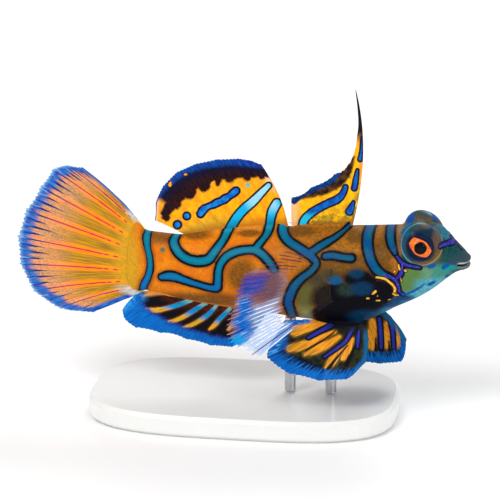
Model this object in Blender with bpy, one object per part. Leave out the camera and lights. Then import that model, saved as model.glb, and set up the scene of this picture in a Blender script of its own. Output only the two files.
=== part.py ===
"""A mandarinfish, life size, swimming level above a plain display stand.

Everything is worked out in millimetres and turned into metres when a mesh is made. +X runs to the
snout, -Y is the fish's right side and +Z is up. Fish heights are counted from its long axis, which an
empty carries AXIS_HEIGHT above the floor. The tail swings a little to the left, see sway().
"""

import math

import bmesh
import bpy
import numpy as np

MM = 0.001

# The stand, and the height of the fish above it
BASE_LENGTH = 50.0
BASE_WIDTH = 30.0
BASE_THICKNESS = 3.5
BASE_BEVEL = 0.6
BASE_CORNER_POWER = 3.2
BASE_SEGMENTS = 48
ROD_RADIUS = 0.9
# Rings of a rod's rounded end: how far below the end, and share of the radius
ROD_END = ((0.35, 1.0), (0.1, 0.85), (0.0, 0.55))
ROD_PLACES = {"stand_rod_front": 14.0, "stand_rod_rear": 7.4}
ROD_SIDES = 16
AXIS_HEIGHT = 24.5

# Space kept between solids that touch on the real thing
GAP = 0.3

# Body outline: x, back, belly, half width, height of the widest place
STATIONS = (
    (-16.5, 5.0, -5.1, 2.0, 0.0),
    (-13.5, 4.75, -5.4, 2.8, -0.2),
    (-10.0, 4.5, -5.9, 3.6, -0.4),
    (-6.0, 4.9, -6.35, 4.4, -0.6),
    (-1.5, 5.5, -6.7, 5.1, -0.8),
    (3.0, 6.1, -7.15, 5.7, -0.9),
    (7.5, 6.65, -7.7, 6.15, -1.0),
    (12.0, 6.95, -8.05, 6.5, -1.0),
    (17.0, 7.2, -8.1, 6.8, -0.9),
    (21.0, 7.4, -7.2, 6.9, -0.4),
    (24.5, 7.65, -5.2, 6.7, 0.4),
    (28.0, 7.6, -3.5, 6.0, 1.2),
    (30.8, 7.35, -1.7, 4.9, 1.95),
    (32.8, 6.5, 0.0, 3.7, 2.6),
    (34.2, 5.05, 0.95, 2.75, 2.75),
    (35.2, 4.1, 1.15, 2.0, 2.65),
    (35.8, 3.4, 1.4, 1.3, 2.4),
)
BACK_FULLNESS = 2.15
BELLY_FULLNESS = 2.5
BODY_SEGMENTS = 36
HEAD_RINGS = (22.0, 23.2, 24.4, 25.6, 26.8, 28.0, 29.2, 30.4, 31.5, 32.4, 33.2, 33.9, 34.5, 35.1, 35.5)
TRUNK_RINGS = 18
TAIL_RINGS = 5
SHARP_DEG = 40.0
HEAD_CUT = 20.8
TAIL_CUT = -11.3
TAIL_END = -16.0
SNOUT_END = 35.8

# Sideways swing of the tail, to the fish's left
SWAY_START = -4.0
SWAY_LENGTH = 32.0
SWAY_REACH = 3.2

# Eyes stand high on the head and look a little forward and up
EYE_RADIUS = 2.2
EYE_DEPTH = 1.95
EYE_SHIFT = 1.4
EYE_FORWARD_DEG = 7.0
EYE_UP_DEG = 5.0
CORNEA_REACH = 0.18
CORNEA_START = 0.8

# Mounds round the eyes: radii along, up and out, and how far each toes in, leans back and tips up
MOUND_CENTRE = (28.36, 3.4, 5.87)
MOUND_RADII = (3.3, 3.8, 2.78)
MOUND_TOE_DEG = 22.0
MOUND_LEAN_DEG = 32.0
MOUND_TIP_DEG = 8.5
SOCKET_FOOT_CENTRE = (28.4, 2.8, 4.3)
SOCKET_FOOT_RADII = (4.1, 3.2, 3.5)
BROW_CENTRE = (30.2, 1.6, 5.1)
BROW_RADII = (3.1, 2.1, 2.35)

# Mouth, lips, nostrils and gill openings
MOUTH_FRONT = (36.1, 0.0, 2.35)
MOUTH_CORNER = (34.4, 2.3, 2.4)
MOUTH_SLIT_BACK = 0.125
MOUTH_SLIT_FRONT = 0.275
MOUTH_SLIT_REACH = 1.0
MOUTH_SLIT_DEPTH = 0.4
LIP_SETBACK = 0.45
LIP_FULLNESS = 0.8
LIP_PARTING_AT_CORNER = 0.35
LIP_SIZE_AT_CORNER = 0.55
LIP_SIDES = 8
UPPER_LIP_RISE = 0.6
LOWER_LIP_DROP = 0.52
UPPER_LIP_RADIUS = 0.46
LOWER_LIP_RADIUS = 0.4
NOSTRIL_PLACE = (32.5, 5.2)
NOSTRIL_LEAN = (0.45, 0.6, 0.66)
NOSTRIL_SIDES = 10
NOSTRIL_RADIUS = 0.36
NOSTRIL_FLARE = 1.3
NOSTRIL_LIP = 0.85
NOSTRIL_BORE = 0.15
NOSTRIL_LENGTH = 1.5
NOSTRIL_REACH = 0.5
GILL_PLACE = (18.9, 3.9)
GILL_RADII = (0.8, 0.75, 0.4)
GILL_SEGMENTS = 12
GILL_RINGS = 8

# Fins
MEMBRANE = 0.44
MARGIN = 0.32
RAY_RELIEF = 0.15
RAY_SPREAD = 0.2
RAY_FADE = 0.5
ROOT_THICKNESS = 1.25
ROOT_FADE = 0.16
ROWS = (0.0, 0.08, 0.2, 0.36, 0.54, 0.72, 0.88, 1.0)
PECTORAL_ROWS = (0.0, 0.12, 0.32, 0.56, 0.8, 1.0)
FRONT_SPINES = (0.0, 0.34, 0.67, 1.0)
FRONT_SPINE_STEPS = (8, 4, 4)
PELVIC_RAYS = (0.0, 0.18, 0.36, 0.54, 0.72, 0.88, 1.0)
PECTORAL_ROOT = 15.6
PELVIC_SPREAD = 3.9
SLOPE = 1e-3

# Colours read from the animal
ORANGE = (0.78, 0.30, 0.03)
OLIVE = (0.36, 0.28, 0.08)
TEAL = (0.06, 0.30, 0.30)
BLUE = (0.03, 0.16, 0.50)
PALE_BLUE = (0.30, 0.42, 0.72)
IRIS = (0.70, 0.16, 0.02)
WHITE_LACQUER = (0.80, 0.80, 0.78)
STEEL = (0.60, 0.61, 0.63)


def material(name, colour, roughness, metallic=0.0):
    made = bpy.data.materials.new(name)
    made.use_nodes = True
    shader = made.node_tree.nodes["Principled BSDF"]
    shader.inputs["Base Color"].default_value = (*colour, 1.0)
    shader.inputs["Roughness"].default_value = roughness
    shader.inputs["Metallic"].default_value = metallic
    return made


def mesh_object(name, points, faces, finish, carrier):
    """A closed mesh from points in millimetres, its faces turned outwards."""
    mesh = bpy.data.meshes.new(name)
    mesh.from_pydata([tuple(float(c) * MM for c in p) for p in points], [], faces)
    work = bmesh.new()
    work.from_mesh(mesh)
    bmesh.ops.recalc_face_normals(work, faces=work.faces)
    work.to_mesh(mesh)
    work.free()
    mesh.shade_smooth()
    mesh.set_sharp_from_angle(angle=math.radians(SHARP_DEG))
    mesh.materials.append(finish)
    made = bpy.data.objects.new(name, mesh)
    bpy.context.scene.collection.objects.link(made)
    made.parent = carrier
    return made


def smooth(at, places, values):
    """A smooth curve through the given values, by Hermite spans with averaged slopes."""
    x = np.asarray(places, float)
    y = np.asarray(values, float)
    order = np.argsort(x)
    x, y = x[order], y[order]
    steps = np.diff(y) / np.diff(x)
    slopes = np.concatenate([[steps[0]], (steps[1:] + steps[:-1]) / 2, [steps[-1]]])
    i = int(np.clip(np.searchsorted(x, at) - 1, 0, len(x) - 2))
    span = x[i + 1] - x[i]
    u = (min(max(at, x[0]), x[-1]) - x[i]) / span
    rise = (1 + 2 * u) * (1 - u) ** 2 * y[i] + u * u * (3 - 2 * u) * y[i + 1]
    lean = u * (1 - u) ** 2 * slopes[i] - u * u * (1 - u) * slopes[i + 1]
    return float(rise + lean * span)


def sway(x):
    """How far the middle plane of the tail stands to the left at x."""
    return SWAY_REACH * max(0.0, (SWAY_START - x) / SWAY_LENGTH) ** 2


def body_at(x):
    """Back, belly, half width and widest height of the body at x."""
    columns = list(zip(*STATIONS))
    return [smooth(x, columns[0], column) for column in columns[1:]]


def back(x):
    return body_at(x)[0]


def belly(x):
    return body_at(x)[1]


def flank(x, z):
    """Distance of the skin from the middle plane at x and height z."""
    top, bottom, half, widest = body_at(x)
    if z > widest:
        share, power = (z - widest) / (top - widest), BACK_FULLNESS
    else:
        share, power = (widest - z) / (widest - bottom), BELLY_FULLNESS
    return half * max(0.0, 1 - min(share, 1.0) ** power) ** (1 / power)


def underside(x, y):
    """Height of the belly's skin at x, y away from the middle plane."""
    _, bottom, half, widest = body_at(x)
    share = min(abs(y) / half, 1.0)
    return widest - (widest - bottom) * (1 - share**BELLY_FULLNESS) ** (1 / BELLY_FULLNESS)


def clear_of_body(point):
    """The point itself, or where it comes to if it is moved out to a gap above the skin."""
    x, y, z = point
    top, bottom, half, widest = body_at(x)
    if z > widest:
        power, height = BACK_FULLNESS, top - widest
    else:
        power, height = BELLY_FULLNESS, widest - bottom
    share = ((abs(y) / half) ** power + (abs(z - widest) / height) ** power) ** (1 / power)
    reach = math.hypot(y, z - widest) / share
    needed = 1 + GAP / reach
    if share >= needed:
        return np.array(point)
    return np.array((x, y * needed / share, widest + (z - widest) * needed / share))


def section(x):
    """The ring of points round the body at x."""
    top, bottom, half, widest = body_at(x)
    ring = []
    for k in range(BODY_SEGMENTS):
        angle = 2 * math.pi * k / BODY_SEGMENTS
        c, s = math.cos(angle), math.sin(angle)
        power, height = (BACK_FULLNESS, top - widest) if s >= 0 else (BELLY_FULLNESS, widest - bottom)
        y = half * math.copysign(abs(c) ** (2 / power), c)
        z = widest + height * math.copysign(abs(s) ** (2 / power), s)
        ring.append((x, sway(x) + y, z))
    return ring


def body_length(name, places, finish, carrier):
    """One length of the body, between flat ends."""
    rings = [section(x) for x in places]
    n = BODY_SEGMENTS
    points = [p for ring in rings for p in ring]
    faces = [tuple(range(n)), tuple(range((len(rings) - 1) * n, len(rings) * n))]
    for i in range(len(rings) - 1):
        for k in range(n):
            a, b = i * n + k, i * n + (k + 1) % n
            faces.append((a, b, b + n, a + n))
    return mesh_object(name, points, faces, finish, carrier)


def spheroid(name, centre, radii, turn, finish, carrier, segments=20, rings=12, bulge=0.0):
    """A closed ball stretched to radii. turn holds its axes as columns, and its poles lie on the third."""
    points = [(0.0, 0.0, 1.0)]
    for i in range(1, rings):
        polar = math.pi * i / rings
        for k in range(segments):
            round_angle = 2 * math.pi * k / segments
            points.append(
                (
                    math.sin(polar) * math.cos(round_angle),
                    math.sin(polar) * math.sin(round_angle),
                    math.cos(polar),
                )
            )
    points.append((0.0, 0.0, -1.0))
    last = len(points) - 1
    faces = []
    for k in range(segments):
        following = (k + 1) % segments
        faces.append((0, 1 + k, 1 + following))
        faces.append((last, last - segments + following, last - segments + k))
        for i in range(rings - 2):
            a, b = 1 + i * segments + k, 1 + i * segments + following
            faces.append((a, a + segments, b + segments, b))
    shape = np.asarray(points, float)
    lens = bulge * np.sqrt(np.clip((shape[:, 2] - CORNEA_START) / (1 - CORNEA_START), 0, 1))
    shape = shape * np.asarray(radii, float)
    shape[:, 2] += lens
    shape = shape @ np.asarray(turn, float).T + np.asarray(centre, float)
    return mesh_object(name, shape, faces, finish, carrier)


def tube(name, path, radii, sides, finish, carrier):
    """A closed tube of changing radius along a path that lies about level."""
    path = np.asarray(path, float)
    along = np.gradient(path, axis=0)
    along /= np.linalg.norm(along, axis=1)[:, None]
    across = np.cross(along, (0.0, 0.0, 1.0))
    across /= np.linalg.norm(across, axis=1)[:, None]
    lift = np.cross(across, along)
    points = []
    for centre, side, up, radius in zip(path, across, lift, radii):
        for k in range(sides):
            angle = 2 * math.pi * k / sides
            points.append(centre + radius * (math.cos(angle) * side + math.sin(angle) * up))
    faces = [tuple(range(sides)), tuple(range(len(points) - sides, len(points)))]
    for i in range(len(path) - 1):
        for k in range(sides):
            a, b = i * sides + k, i * sides + (k + 1) % sides
            faces.append((a, b, b + sides, a + sides))
    return mesh_object(name, points, faces, finish, carrier)


def boolean(target, others, operation):
    """Joins or cuts target with closed objects, which are then removed."""
    helpers = bpy.data.collections.new("helpers")
    for other in others:
        bpy.context.scene.collection.objects.unlink(other)
        helpers.objects.link(other)
    bpy.context.scene.collection.children.link(helpers)
    modifier = target.modifiers.new("join", "BOOLEAN")
    modifier.operation = operation
    modifier.operand_type = "COLLECTION"
    modifier.collection = helpers
    modifier.solver = "EXACT"
    bpy.context.view_layer.update()
    graph = bpy.context.evaluated_depsgraph_get()
    result = bpy.data.meshes.new_from_object(target.evaluated_get(graph))
    target.modifiers.clear()
    target.data = result
    for other in others:
        bpy.data.objects.remove(other)
    bpy.data.collections.remove(helpers)


def keep_largest(target):
    """Keeps only the largest closed surface of target."""
    work = bmesh.new()
    work.from_mesh(target.data)
    bmesh.ops.triangulate(work, faces=work.faces)
    left, islands = set(work.verts), []
    while left:
        stack, island = [left.pop()], []
        while stack:
            vert = stack.pop()
            island.append(vert)
            for edge in vert.link_edges:
                other = edge.other_vert(vert)
                if other in left:
                    left.remove(other)
                    stack.append(other)
        islands.append(island)
    islands.sort(key=len)
    for island in islands[:-1]:
        bmesh.ops.delete(work, geom=island, context="VERTS")
    work.to_mesh(target.data)
    work.free()


def gaze_axes(side):
    """Axes of an eye as columns: the third is the way it looks, side is -1 on the right."""
    forward, up = math.radians(EYE_FORWARD_DEG), math.radians(EYE_UP_DEG)
    look = np.array([math.sin(forward), side * math.cos(forward) * math.cos(up), math.sin(up)])
    look /= np.linalg.norm(look)
    level = np.cross((0.0, 0.0, 1.0), look)
    level /= np.linalg.norm(level)
    return np.column_stack([level, np.cross(look, level), look])


def mound_axes(side):
    """Axes of an eye mound as columns: along, up and out."""
    toe, lean, tip = (math.radians(a) for a in (MOUND_TOE_DEG, MOUND_LEAN_DEG, MOUND_TIP_DEG))
    along = np.array([math.cos(toe), -side * math.sin(toe), 0.0])
    out = np.array([math.sin(toe), side * math.cos(toe), 0.0])
    lift = np.array([0.0, 0.0, 1.0])
    out, lift = out * math.cos(tip) + lift * math.sin(tip), lift * math.cos(tip) - out * math.sin(tip)
    along, lift = (
        along * math.cos(lean) + lift * math.sin(lean),
        lift * math.cos(lean) - along * math.sin(lean),
    )
    return np.column_stack([along, lift, out])


def mirrored(point, side):
    return (point[0], side * point[1], point[2])


def eye_centre(side):
    return np.array(mirrored(MOUND_CENTRE, side)) + EYE_SHIFT * gaze_axes(side)[:, 2]


def lip_path(rise, steps=15):
    """The lip's line from one corner of the mouth round the front to the other."""
    path = []
    for k in range(steps):
        turn = math.pi * k / (steps - 1) - math.pi / 2
        y = MOUTH_CORNER[1] * math.sin(turn)
        share = max(math.cos(turn), 0.0) ** LIP_FULLNESS
        x = MOUTH_CORNER[0] + (MOUTH_FRONT[0] - MOUTH_CORNER[0] - LIP_SETBACK) * share
        z = MOUTH_CORNER[2] + (MOUTH_FRONT[2] - MOUTH_CORNER[2]) * share
        parting = LIP_PARTING_AT_CORNER + (1 - LIP_PARTING_AT_CORNER) * share
        path.append((x, y, z + rise * parting))
    return path


def head(finish, carrier):
    places = [HEAD_CUT + GAP / 2, *HEAD_RINGS, SNOUT_END]
    made = body_length("head", places, finish, carrier)
    level = np.eye(3)
    joined = []
    for side in (-1, 1):
        centre = mirrored(MOUND_CENTRE, side)
        joined.append(spheroid("mound", centre, MOUND_RADII, mound_axes(side), finish, carrier))
        centre = mirrored(SOCKET_FOOT_CENTRE, side)
        joined.append(spheroid("foot", centre, SOCKET_FOOT_RADII, level, finish, carrier))
        centre = mirrored(BROW_CENTRE, side)
        joined.append(spheroid("brow", centre, BROW_RADII, level, finish, carrier))
        joined.append(nostril(side, finish, carrier))
    steps = len(lip_path(0.0))
    swell = [math.sqrt(max(math.sin(math.pi * k / (steps - 1)), 0.0)) for k in range(steps)]
    ends = [LIP_SIZE_AT_CORNER + (1 - LIP_SIZE_AT_CORNER) * s for s in swell]
    upper = [UPPER_LIP_RADIUS * e for e in ends]
    lower = [LOWER_LIP_RADIUS * e for e in ends]
    joined.append(tube("upper_lip", lip_path(UPPER_LIP_RISE), upper, LIP_SIDES, finish, carrier))
    joined.append(tube("lower_lip", lip_path(-LOWER_LIP_DROP), lower, LIP_SIDES, finish, carrier))
    boolean(made, joined, "UNION")
    keep_largest(made)
    cut = [mouth_slit(finish, carrier)]
    for side in (-1, 1):
        radii = (EYE_RADIUS + GAP, EYE_RADIUS + GAP, EYE_DEPTH + GAP)
        cut.append(spheroid("socket", eye_centre(side), radii, gaze_axes(side), finish, carrier))
    boolean(made, cut, "DIFFERENCE")
    keep_largest(made)
    return made


def nostril(side, finish, carrier):
    """A short tube that stands on the snout in front of the eye, with a blind bore."""
    x, z = NOSTRIL_PLACE
    root = np.array([x, side * flank(x, z), z])
    out = np.array(mirrored(NOSTRIL_LEAN, side))
    out /= np.linalg.norm(out)
    level = np.cross(out, (0.0, 0.0, 1.0))
    level /= np.linalg.norm(level)
    lift = np.cross(level, out)
    start = NOSTRIL_REACH - NOSTRIL_LENGTH
    rings = (
        (start, NOSTRIL_RADIUS * NOSTRIL_FLARE),
        (NOSTRIL_REACH / 2, NOSTRIL_RADIUS),
        (NOSTRIL_REACH, NOSTRIL_RADIUS * NOSTRIL_LIP),
        (NOSTRIL_REACH, NOSTRIL_BORE),
        (0.1, NOSTRIL_BORE),
    )
    sides = NOSTRIL_SIDES
    points = []
    for height, radius in rings:
        for k in range(sides):
            angle = 2 * math.pi * k / sides
            spread = radius * (math.cos(angle) * level + math.sin(angle) * lift)
            points.append(root + out * height + spread)
    faces = [tuple(range(sides)), tuple(range(len(points) - sides, len(points)))]
    for i in range(len(rings) - 1):
        for k in range(sides):
            a, b = i * sides + k, i * sides + (k + 1) % sides
            faces.append((a, b, b + sides, a + sides))
    return mesh_object("nostril", points, faces, finish, carrier)


def mouth_slit(finish, carrier):
    """The wedge between the lips, from the corners of the mouth out past its front."""
    corner_x, corner_y, corner_z = MOUTH_CORNER
    front_x, _, front_z = MOUTH_FRONT
    wide = corner_y + MOUTH_SLIT_REACH
    far = front_x + MOUTH_SLIT_REACH
    outline = (
        (corner_x, -corner_y + MOUTH_SLIT_DEPTH),
        (corner_x, -wide),
        (far, -wide),
        (far, wide),
        (corner_x, wide),
        (corner_x, corner_y - MOUTH_SLIT_DEPTH),
    )
    points = []
    for sign in (-1, 1):
        for x, y in outline:
            share = (x - corner_x) / (front_x - corner_x)
            half = MOUTH_SLIT_BACK + (MOUTH_SLIT_FRONT - MOUTH_SLIT_BACK) * share
            points.append((x, y, corner_z + (front_z - corner_z) * share + sign * half))
    n = len(outline)
    faces = [tuple(range(n)), tuple(range(n, 2 * n))]
    faces += [(k, (k + 1) % n, n + (k + 1) % n, n + k) for k in range(n)]
    return mesh_object("mouth", points, faces, finish, carrier)


def trunk(finish, carrier):
    first, last = TAIL_CUT + GAP / 2, HEAD_CUT - GAP / 2
    places = list(np.linspace(first, last, TRUNK_RINGS))
    made = body_length("trunk", places, finish, carrier)
    cut = []
    for side in (-1, 1):
        x, z = GILL_PLACE
        centre = (x, side * flank(x, z), z)
        pit = spheroid("gill", centre, GILL_RADII, np.eye(3), finish, carrier, GILL_SEGMENTS, GILL_RINGS)
        cut.append(pit)
    boolean(made, cut, "DIFFERENCE")
    keep_largest(made)
    return made


def tail_stock(finish, carrier):
    places = list(np.linspace(TAIL_END, TAIL_CUT - GAP / 2, TAIL_RINGS))
    return body_length("tail_stock", places, finish, carrier)


def eye(name, side, finish, carrier):
    radii = (EYE_RADIUS, EYE_RADIUS, EYE_DEPTH)
    return spheroid(name, eye_centre(side), radii, gaze_axes(side), finish, carrier, bulge=CORNEA_REACH)


def columns_of(rays, steps):
    """Where the columns of a fin's mesh stand: place along the root, and share of the gap between rays."""
    columns = []
    for first, second, count in zip(rays[:-1], rays[1:], steps):
        for k in range(count):
            columns.append((first + (second - first) * k / count, k / count))
    columns.append((rays[-1], 0.0))
    return columns


def fin(name, keys, rays, finish, carrier, steps=4, rows=ROWS, median=True, **form):
    """A fin as one closed sheet. A key holds a place along the root and three points: root, bend and tip.

    The sheet is thick at the root, thin at the margin, and has a ridge along each ray on both faces. Its
    margin is notched between the rays. Both faces are split into triangles alike.
    """
    root_thickness = form.get("root_thickness", ROOT_THICKNESS)
    root_fade = form.get("root_fade", ROOT_FADE)
    notch = form.get("notch", 0.04)
    table = np.array([[k[0], *k[1], *k[2], *k[3]] for k in keys], float)
    counts = steps if isinstance(steps, tuple) else (steps,) * (len(rays) - 1)

    def point(t, v):
        r = [smooth(t, table[:, 0], table[:, 1 + c]) for c in range(9)]
        place = [
            (1 - v) ** 2 * r[c] + 2 * v * (1 - v) * r[3 + c] + v * v * r[6 + c] for c in range(3)
        ]
        if median:
            place[1] = sway(place[0])
        return np.array(place)

    columns = columns_of(rays, counts)
    front, rear = [], []
    for t, share in columns:
        inside = min(max(t, SLOPE), 1 - SLOPE)
        ridge = math.exp(-((min(share, 1 - share) / RAY_SPREAD) ** 2))
        length = 1 - notch * 4 * share * (1 - share)
        for row in rows:
            v = row * length
            along = point(t, min(v + SLOPE, 1.0)) - point(t, max(v - SLOPE, 0.0))
            across = point(inside + SLOPE, v) - point(inside - SLOPE, v)
            normal = np.cross(along, across)
            normal /= np.linalg.norm(normal)
            thick = MEMBRANE + (root_thickness - MEMBRANE) * max(0.0, 1 - v / root_fade) ** 2
            thick += 2 * RAY_RELIEF * ridge * (1 - RAY_FADE * row)
            if row == rows[-1]:
                thick = MARGIN
            middle = point(t, v)
            pair = [middle + normal * thick / 2, middle - normal * thick / 2]
            if not median:
                pair = [clear_of_body(p) for p in pair]
            front.append(pair[0])
            rear.append(pair[1])
    n, m = len(columns), len(rows)
    faces = []
    for i in range(n - 1):
        for j in range(m - 1):
            a, b, c, d = i * m + j, (i + 1) * m + j, (i + 1) * m + j + 1, i * m + j + 1
            if (i + j) % 2:
                halves = ((a, b, c), (a, c, d))
            else:
                halves = ((a, b, d), (b, c, d))
            for half in halves:
                faces.append(half)
                faces.append(tuple(n * m + k for k in reversed(half)))
    rim = [i * m for i in range(n)]
    rim += [(n - 1) * m + j for j in range(1, m)]
    rim += [i * m + m - 1 for i in range(n - 2, -1, -1)]
    rim += [j for j in range(m - 2, 0, -1)]
    for a, b in zip(rim, rim[1:] + rim[:1]):
        faces.append((a, n * m + a, n * m + b))
        faces.append((a, n * m + b, b))
    return mesh_object(name, front + rear, faces, finish, carrier)


def evenly(count):
    return [k / (count - 1) for k in range(count)]


def dorsal_fin_front(finish, carrier):
    """Four spines, the first drawn out into a long filament as in a grown male."""

    def key(t, root_x, bend, tip):
        return t, (root_x, 0, back(root_x) + GAP), (bend[0], 0, bend[1]), (tip[0], 0, tip[1])

    keys = (
        key(0.0, 17.1, (20.1, 19.7), (17.5, 29.5)),
        key(0.05, 16.6, (19.1, 16.5), (17.9, 24.6)),
        key(0.1, 16.1, (18.2, 14.6), (17.5, 20.6)),
        key(0.2, 15.2, (16.6, 12.7), (16.1, 17.3)),
        key(0.34, 13.9, (14.6, 11.7), (14.4, 15.8)),
        key(0.6, 11.4, (11.6, 10.6), (11.3, 13.9)),
        key(0.8, 9.5, (9.3, 9.8), (9.3, 12.4)),
        key(1.0, 7.7, (7.5, 9.0), (7.5, 11.6)),
    )
    form = {"steps": FRONT_SPINE_STEPS, "notch": 0.07}
    return fin("dorsal_fin_front", keys, FRONT_SPINES, finish, carrier, **form)


def dorsal_fin_rear(finish, carrier):
    def key(t, root_x, bend, tip):
        return t, (root_x, 0, back(root_x) + GAP), (bend[0], 0, bend[1]), (tip[0], 0, tip[1])

    keys = (
        key(0.0, 6.8, (5.9, 12.3), (2.2, 17.3)),
        key(0.2, 3.4, (0.5, 12.5), (-2.4, 17.5)),
        key(0.4, 0.0, (-3.9, 11.7), (-7.3, 16.7)),
        key(0.6, -3.4, (-7.9, 10.2), (-11.5, 14.5)),
        key(0.8, -6.7, (-10.9, 8.1), (-14.3, 10.6)),
        key(1.0, -9.9, (-12.0, 5.8), (-14.7, 6.7)),
    )
    return fin("dorsal_fin_rear", keys, evenly(8), finish, carrier, notch=0.025)


def anal_fin(finish, carrier):
    def key(t, root_x, bend, tip):
        return t, (root_x, 0, belly(root_x) - GAP), (bend[0], 0, bend[1]), (tip[0], 0, tip[1])

    keys = (
        key(0.0, 3.5, (2.2, -10.1), (0.5, -12.7)),
        key(0.2, 0.8, (-1.3, -11.1), (-2.7, -14.0)),
        key(0.4, -2.0, (-5.0, -10.5), (-7.3, -13.7)),
        key(0.6, -4.8, (-9.0, -9.4), (-12.4, -12.5)),
        key(0.8, -7.8, (-13.3, -7.9), (-17.2, -11.8)),
        key(0.92, -9.8, (-16.0, -6.4), (-20.1, -10.7)),
        key(1.0, -11.0, (-17.3, -5.1), (-20.3, -9.0)),
    )
    return fin("anal_fin", keys, evenly(7), finish, carrier, notch=0.05)


def caudal_fin(finish, carrier):
    root_x = TAIL_END - GAP

    def key(t, root_z, bend, tip):
        return t, (root_x, 0, root_z), (bend[0], 0, bend[1]), (tip[0], 0, tip[1])

    keys = (
        key(0.0, 4.9, (-20.3, 10.6), (-26.8, 14.6)),
        key(0.12, 4.0, (-22.0, 9.5), (-30.9, 14.4)),
        key(0.3, 2.2, (-24.5, 6.3), (-34.2, 10.3)),
        key(0.5, 0.0, (-26.0, 2.3), (-37.5, 3.9)),
        key(0.7, -2.2, (-26.5, -1.8), (-37.8, -2.8)),
        key(0.85, -3.8, (-25.5, -4.7), (-34.9, -7.8)),
        key(0.95, -4.6, (-23.0, -6.3), (-29.7, -9.9)),
        key(1.0, -5.0, (-19.5, -7.0), (-25.3, -9.7)),
    )
    form = {"root_thickness": 3.4, "root_fade": 0.3, "notch": 0.03}
    return fin("caudal_fin", keys, evenly(10), finish, carrier, **form)


def pectoral_fin(name, side, finish, carrier):
    """A round fan of many soft rays, spread back and out from behind the gill opening."""

    def key(t, root_z, bend, tip):
        out = side * (flank(PECTORAL_ROOT, root_z) + GAP)
        return t, (PECTORAL_ROOT, out, root_z), mirrored(bend, side), mirrored(tip, side)

    keys = (
        key(0.0, 2.3, (11.5, 8.6, 4.7), (6.4, 11.2, 6.2)),
        key(0.2, 1.3, (9.3, 9.0, 3.0), (2.2, 12.2, 3.0)),
        key(0.4, 0.3, (8.6, 9.4, 0.3), (0.3, 12.6, -1.2)),
        key(0.6, -0.7, (8.5, 9.6, -2.3), (-0.9, 12.7, -6.0)),
        key(0.78, -1.6, (8.8, 9.6, -4.5), (-0.2, 12.5, -9.3)),
        key(0.9, -2.2, (9.7, 9.5, -5.3), (1.9, 12.2, -10.1)),
        key(1.0, -2.7, (10.2, 9.4, -5.9), (3.8, 12.0, -11.6)),
    )
    form = {"steps": 3, "rows": PECTORAL_ROWS, "notch": 0.03}
    return fin(name, keys, evenly(16), finish, carrier, median=False, **form)


def pelvic_root(x, side):
    """A place on the throat's underside, a gap below the skin."""
    return (x, side * PELVIC_SPREAD, underside(x, PELVIC_SPREAD) - GAP)


def pelvic_fin_right(finish, carrier):
    """The right pelvic fin is spread down and back."""

    def key(t, root_x, bend, tip):
        return t, pelvic_root(root_x, -1), mirrored(bend, -1), mirrored(tip, -1)

    keys = (
        key(0.0, 19.7, (21.3, 6.5, -10.2), (20.4, 7.5, -12.9)),
        key(0.18, 18.7, (19.6, 7.2, -12.0), (18.0, 8.6, -15.2)),
        key(0.36, 17.7, (17.0, 7.6, -12.2), (14.2, 9.4, -15.6)),
        key(0.54, 16.7, (14.5, 7.6, -11.6), (10.0, 9.8, -14.9)),
        key(0.72, 15.5, (12.0, 7.4, -10.3), (5.9, 9.8, -13.2)),
        key(0.88, 13.7, (10.2, 7.2, -8.9), (5.0, 9.4, -10.2)),
        key(1.0, 12.0, (9.9, 6.8, -6.4), (7.7, 8.6, -6.1)),
    )
    return fin("pelvic_fin_right", keys, PELVIC_RAYS, finish, carrier, median=False, notch=0.07)


def pelvic_fin_left(finish, carrier):
    """The left pelvic fin has swung further down and forward."""

    def key(t, root_x, bend, tip):
        return t, pelvic_root(root_x, 1), bend, tip

    keys = (
        key(0.0, 20.5, (24.2, 5.4, -9.6), (25.7, 6.1, -13.6)),
        key(0.18, 19.0, (23.1, 5.7, -12.2), (24.9, 6.6, -16.9)),
        key(0.36, 18.1, (20.9, 5.8, -13.1), (21.9, 6.7, -17.9)),
        key(0.54, 17.2, (18.4, 5.8, -13.1), (17.8, 6.7, -17.8)),
        key(0.72, 16.2, (15.6, 5.7, -12.5), (13.9, 6.7, -16.6)),
        key(0.88, 14.6, (13.2, 5.5, -11.0), (11.0, 6.5, -13.4)),
        key(1.0, 13.0, (11.6, 5.3, -9.6), (10.0, 6.2, -10.8)),
    )
    return fin("pelvic_fin_left", keys, PELVIC_RAYS, finish, carrier, median=False, notch=0.07)


def stand_base(finish):
    """A flat plate with full round corners and a small bevel along its edges."""
    inset = (BASE_BEVEL, 0.0, 0.0, BASE_BEVEL)
    heights = (0.0, BASE_BEVEL, BASE_THICKNESS - BASE_BEVEL, BASE_THICKNESS)
    points = []
    for margin, z in zip(inset, heights):
        for k in range(BASE_SEGMENTS):
            angle = 2 * math.pi * k / BASE_SEGMENTS
            c, s = math.cos(angle), math.sin(angle)
            x = (BASE_LENGTH / 2 - margin) * math.copysign(abs(c) ** (2 / BASE_CORNER_POWER), c)
            y = (BASE_WIDTH / 2 - margin) * math.copysign(abs(s) ** (2 / BASE_CORNER_POWER), s)
            points.append((x, y, z))
    n = BASE_SEGMENTS
    faces = [tuple(range(n)), tuple(range(3 * n, 4 * n))]
    for i in range(3):
        for k in range(n):
            a, b = i * n + k, i * n + (k + 1) % n
            faces.append((a, b, b + n, a + n))
    return mesh_object("stand_base", points, faces, finish, None)


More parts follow.
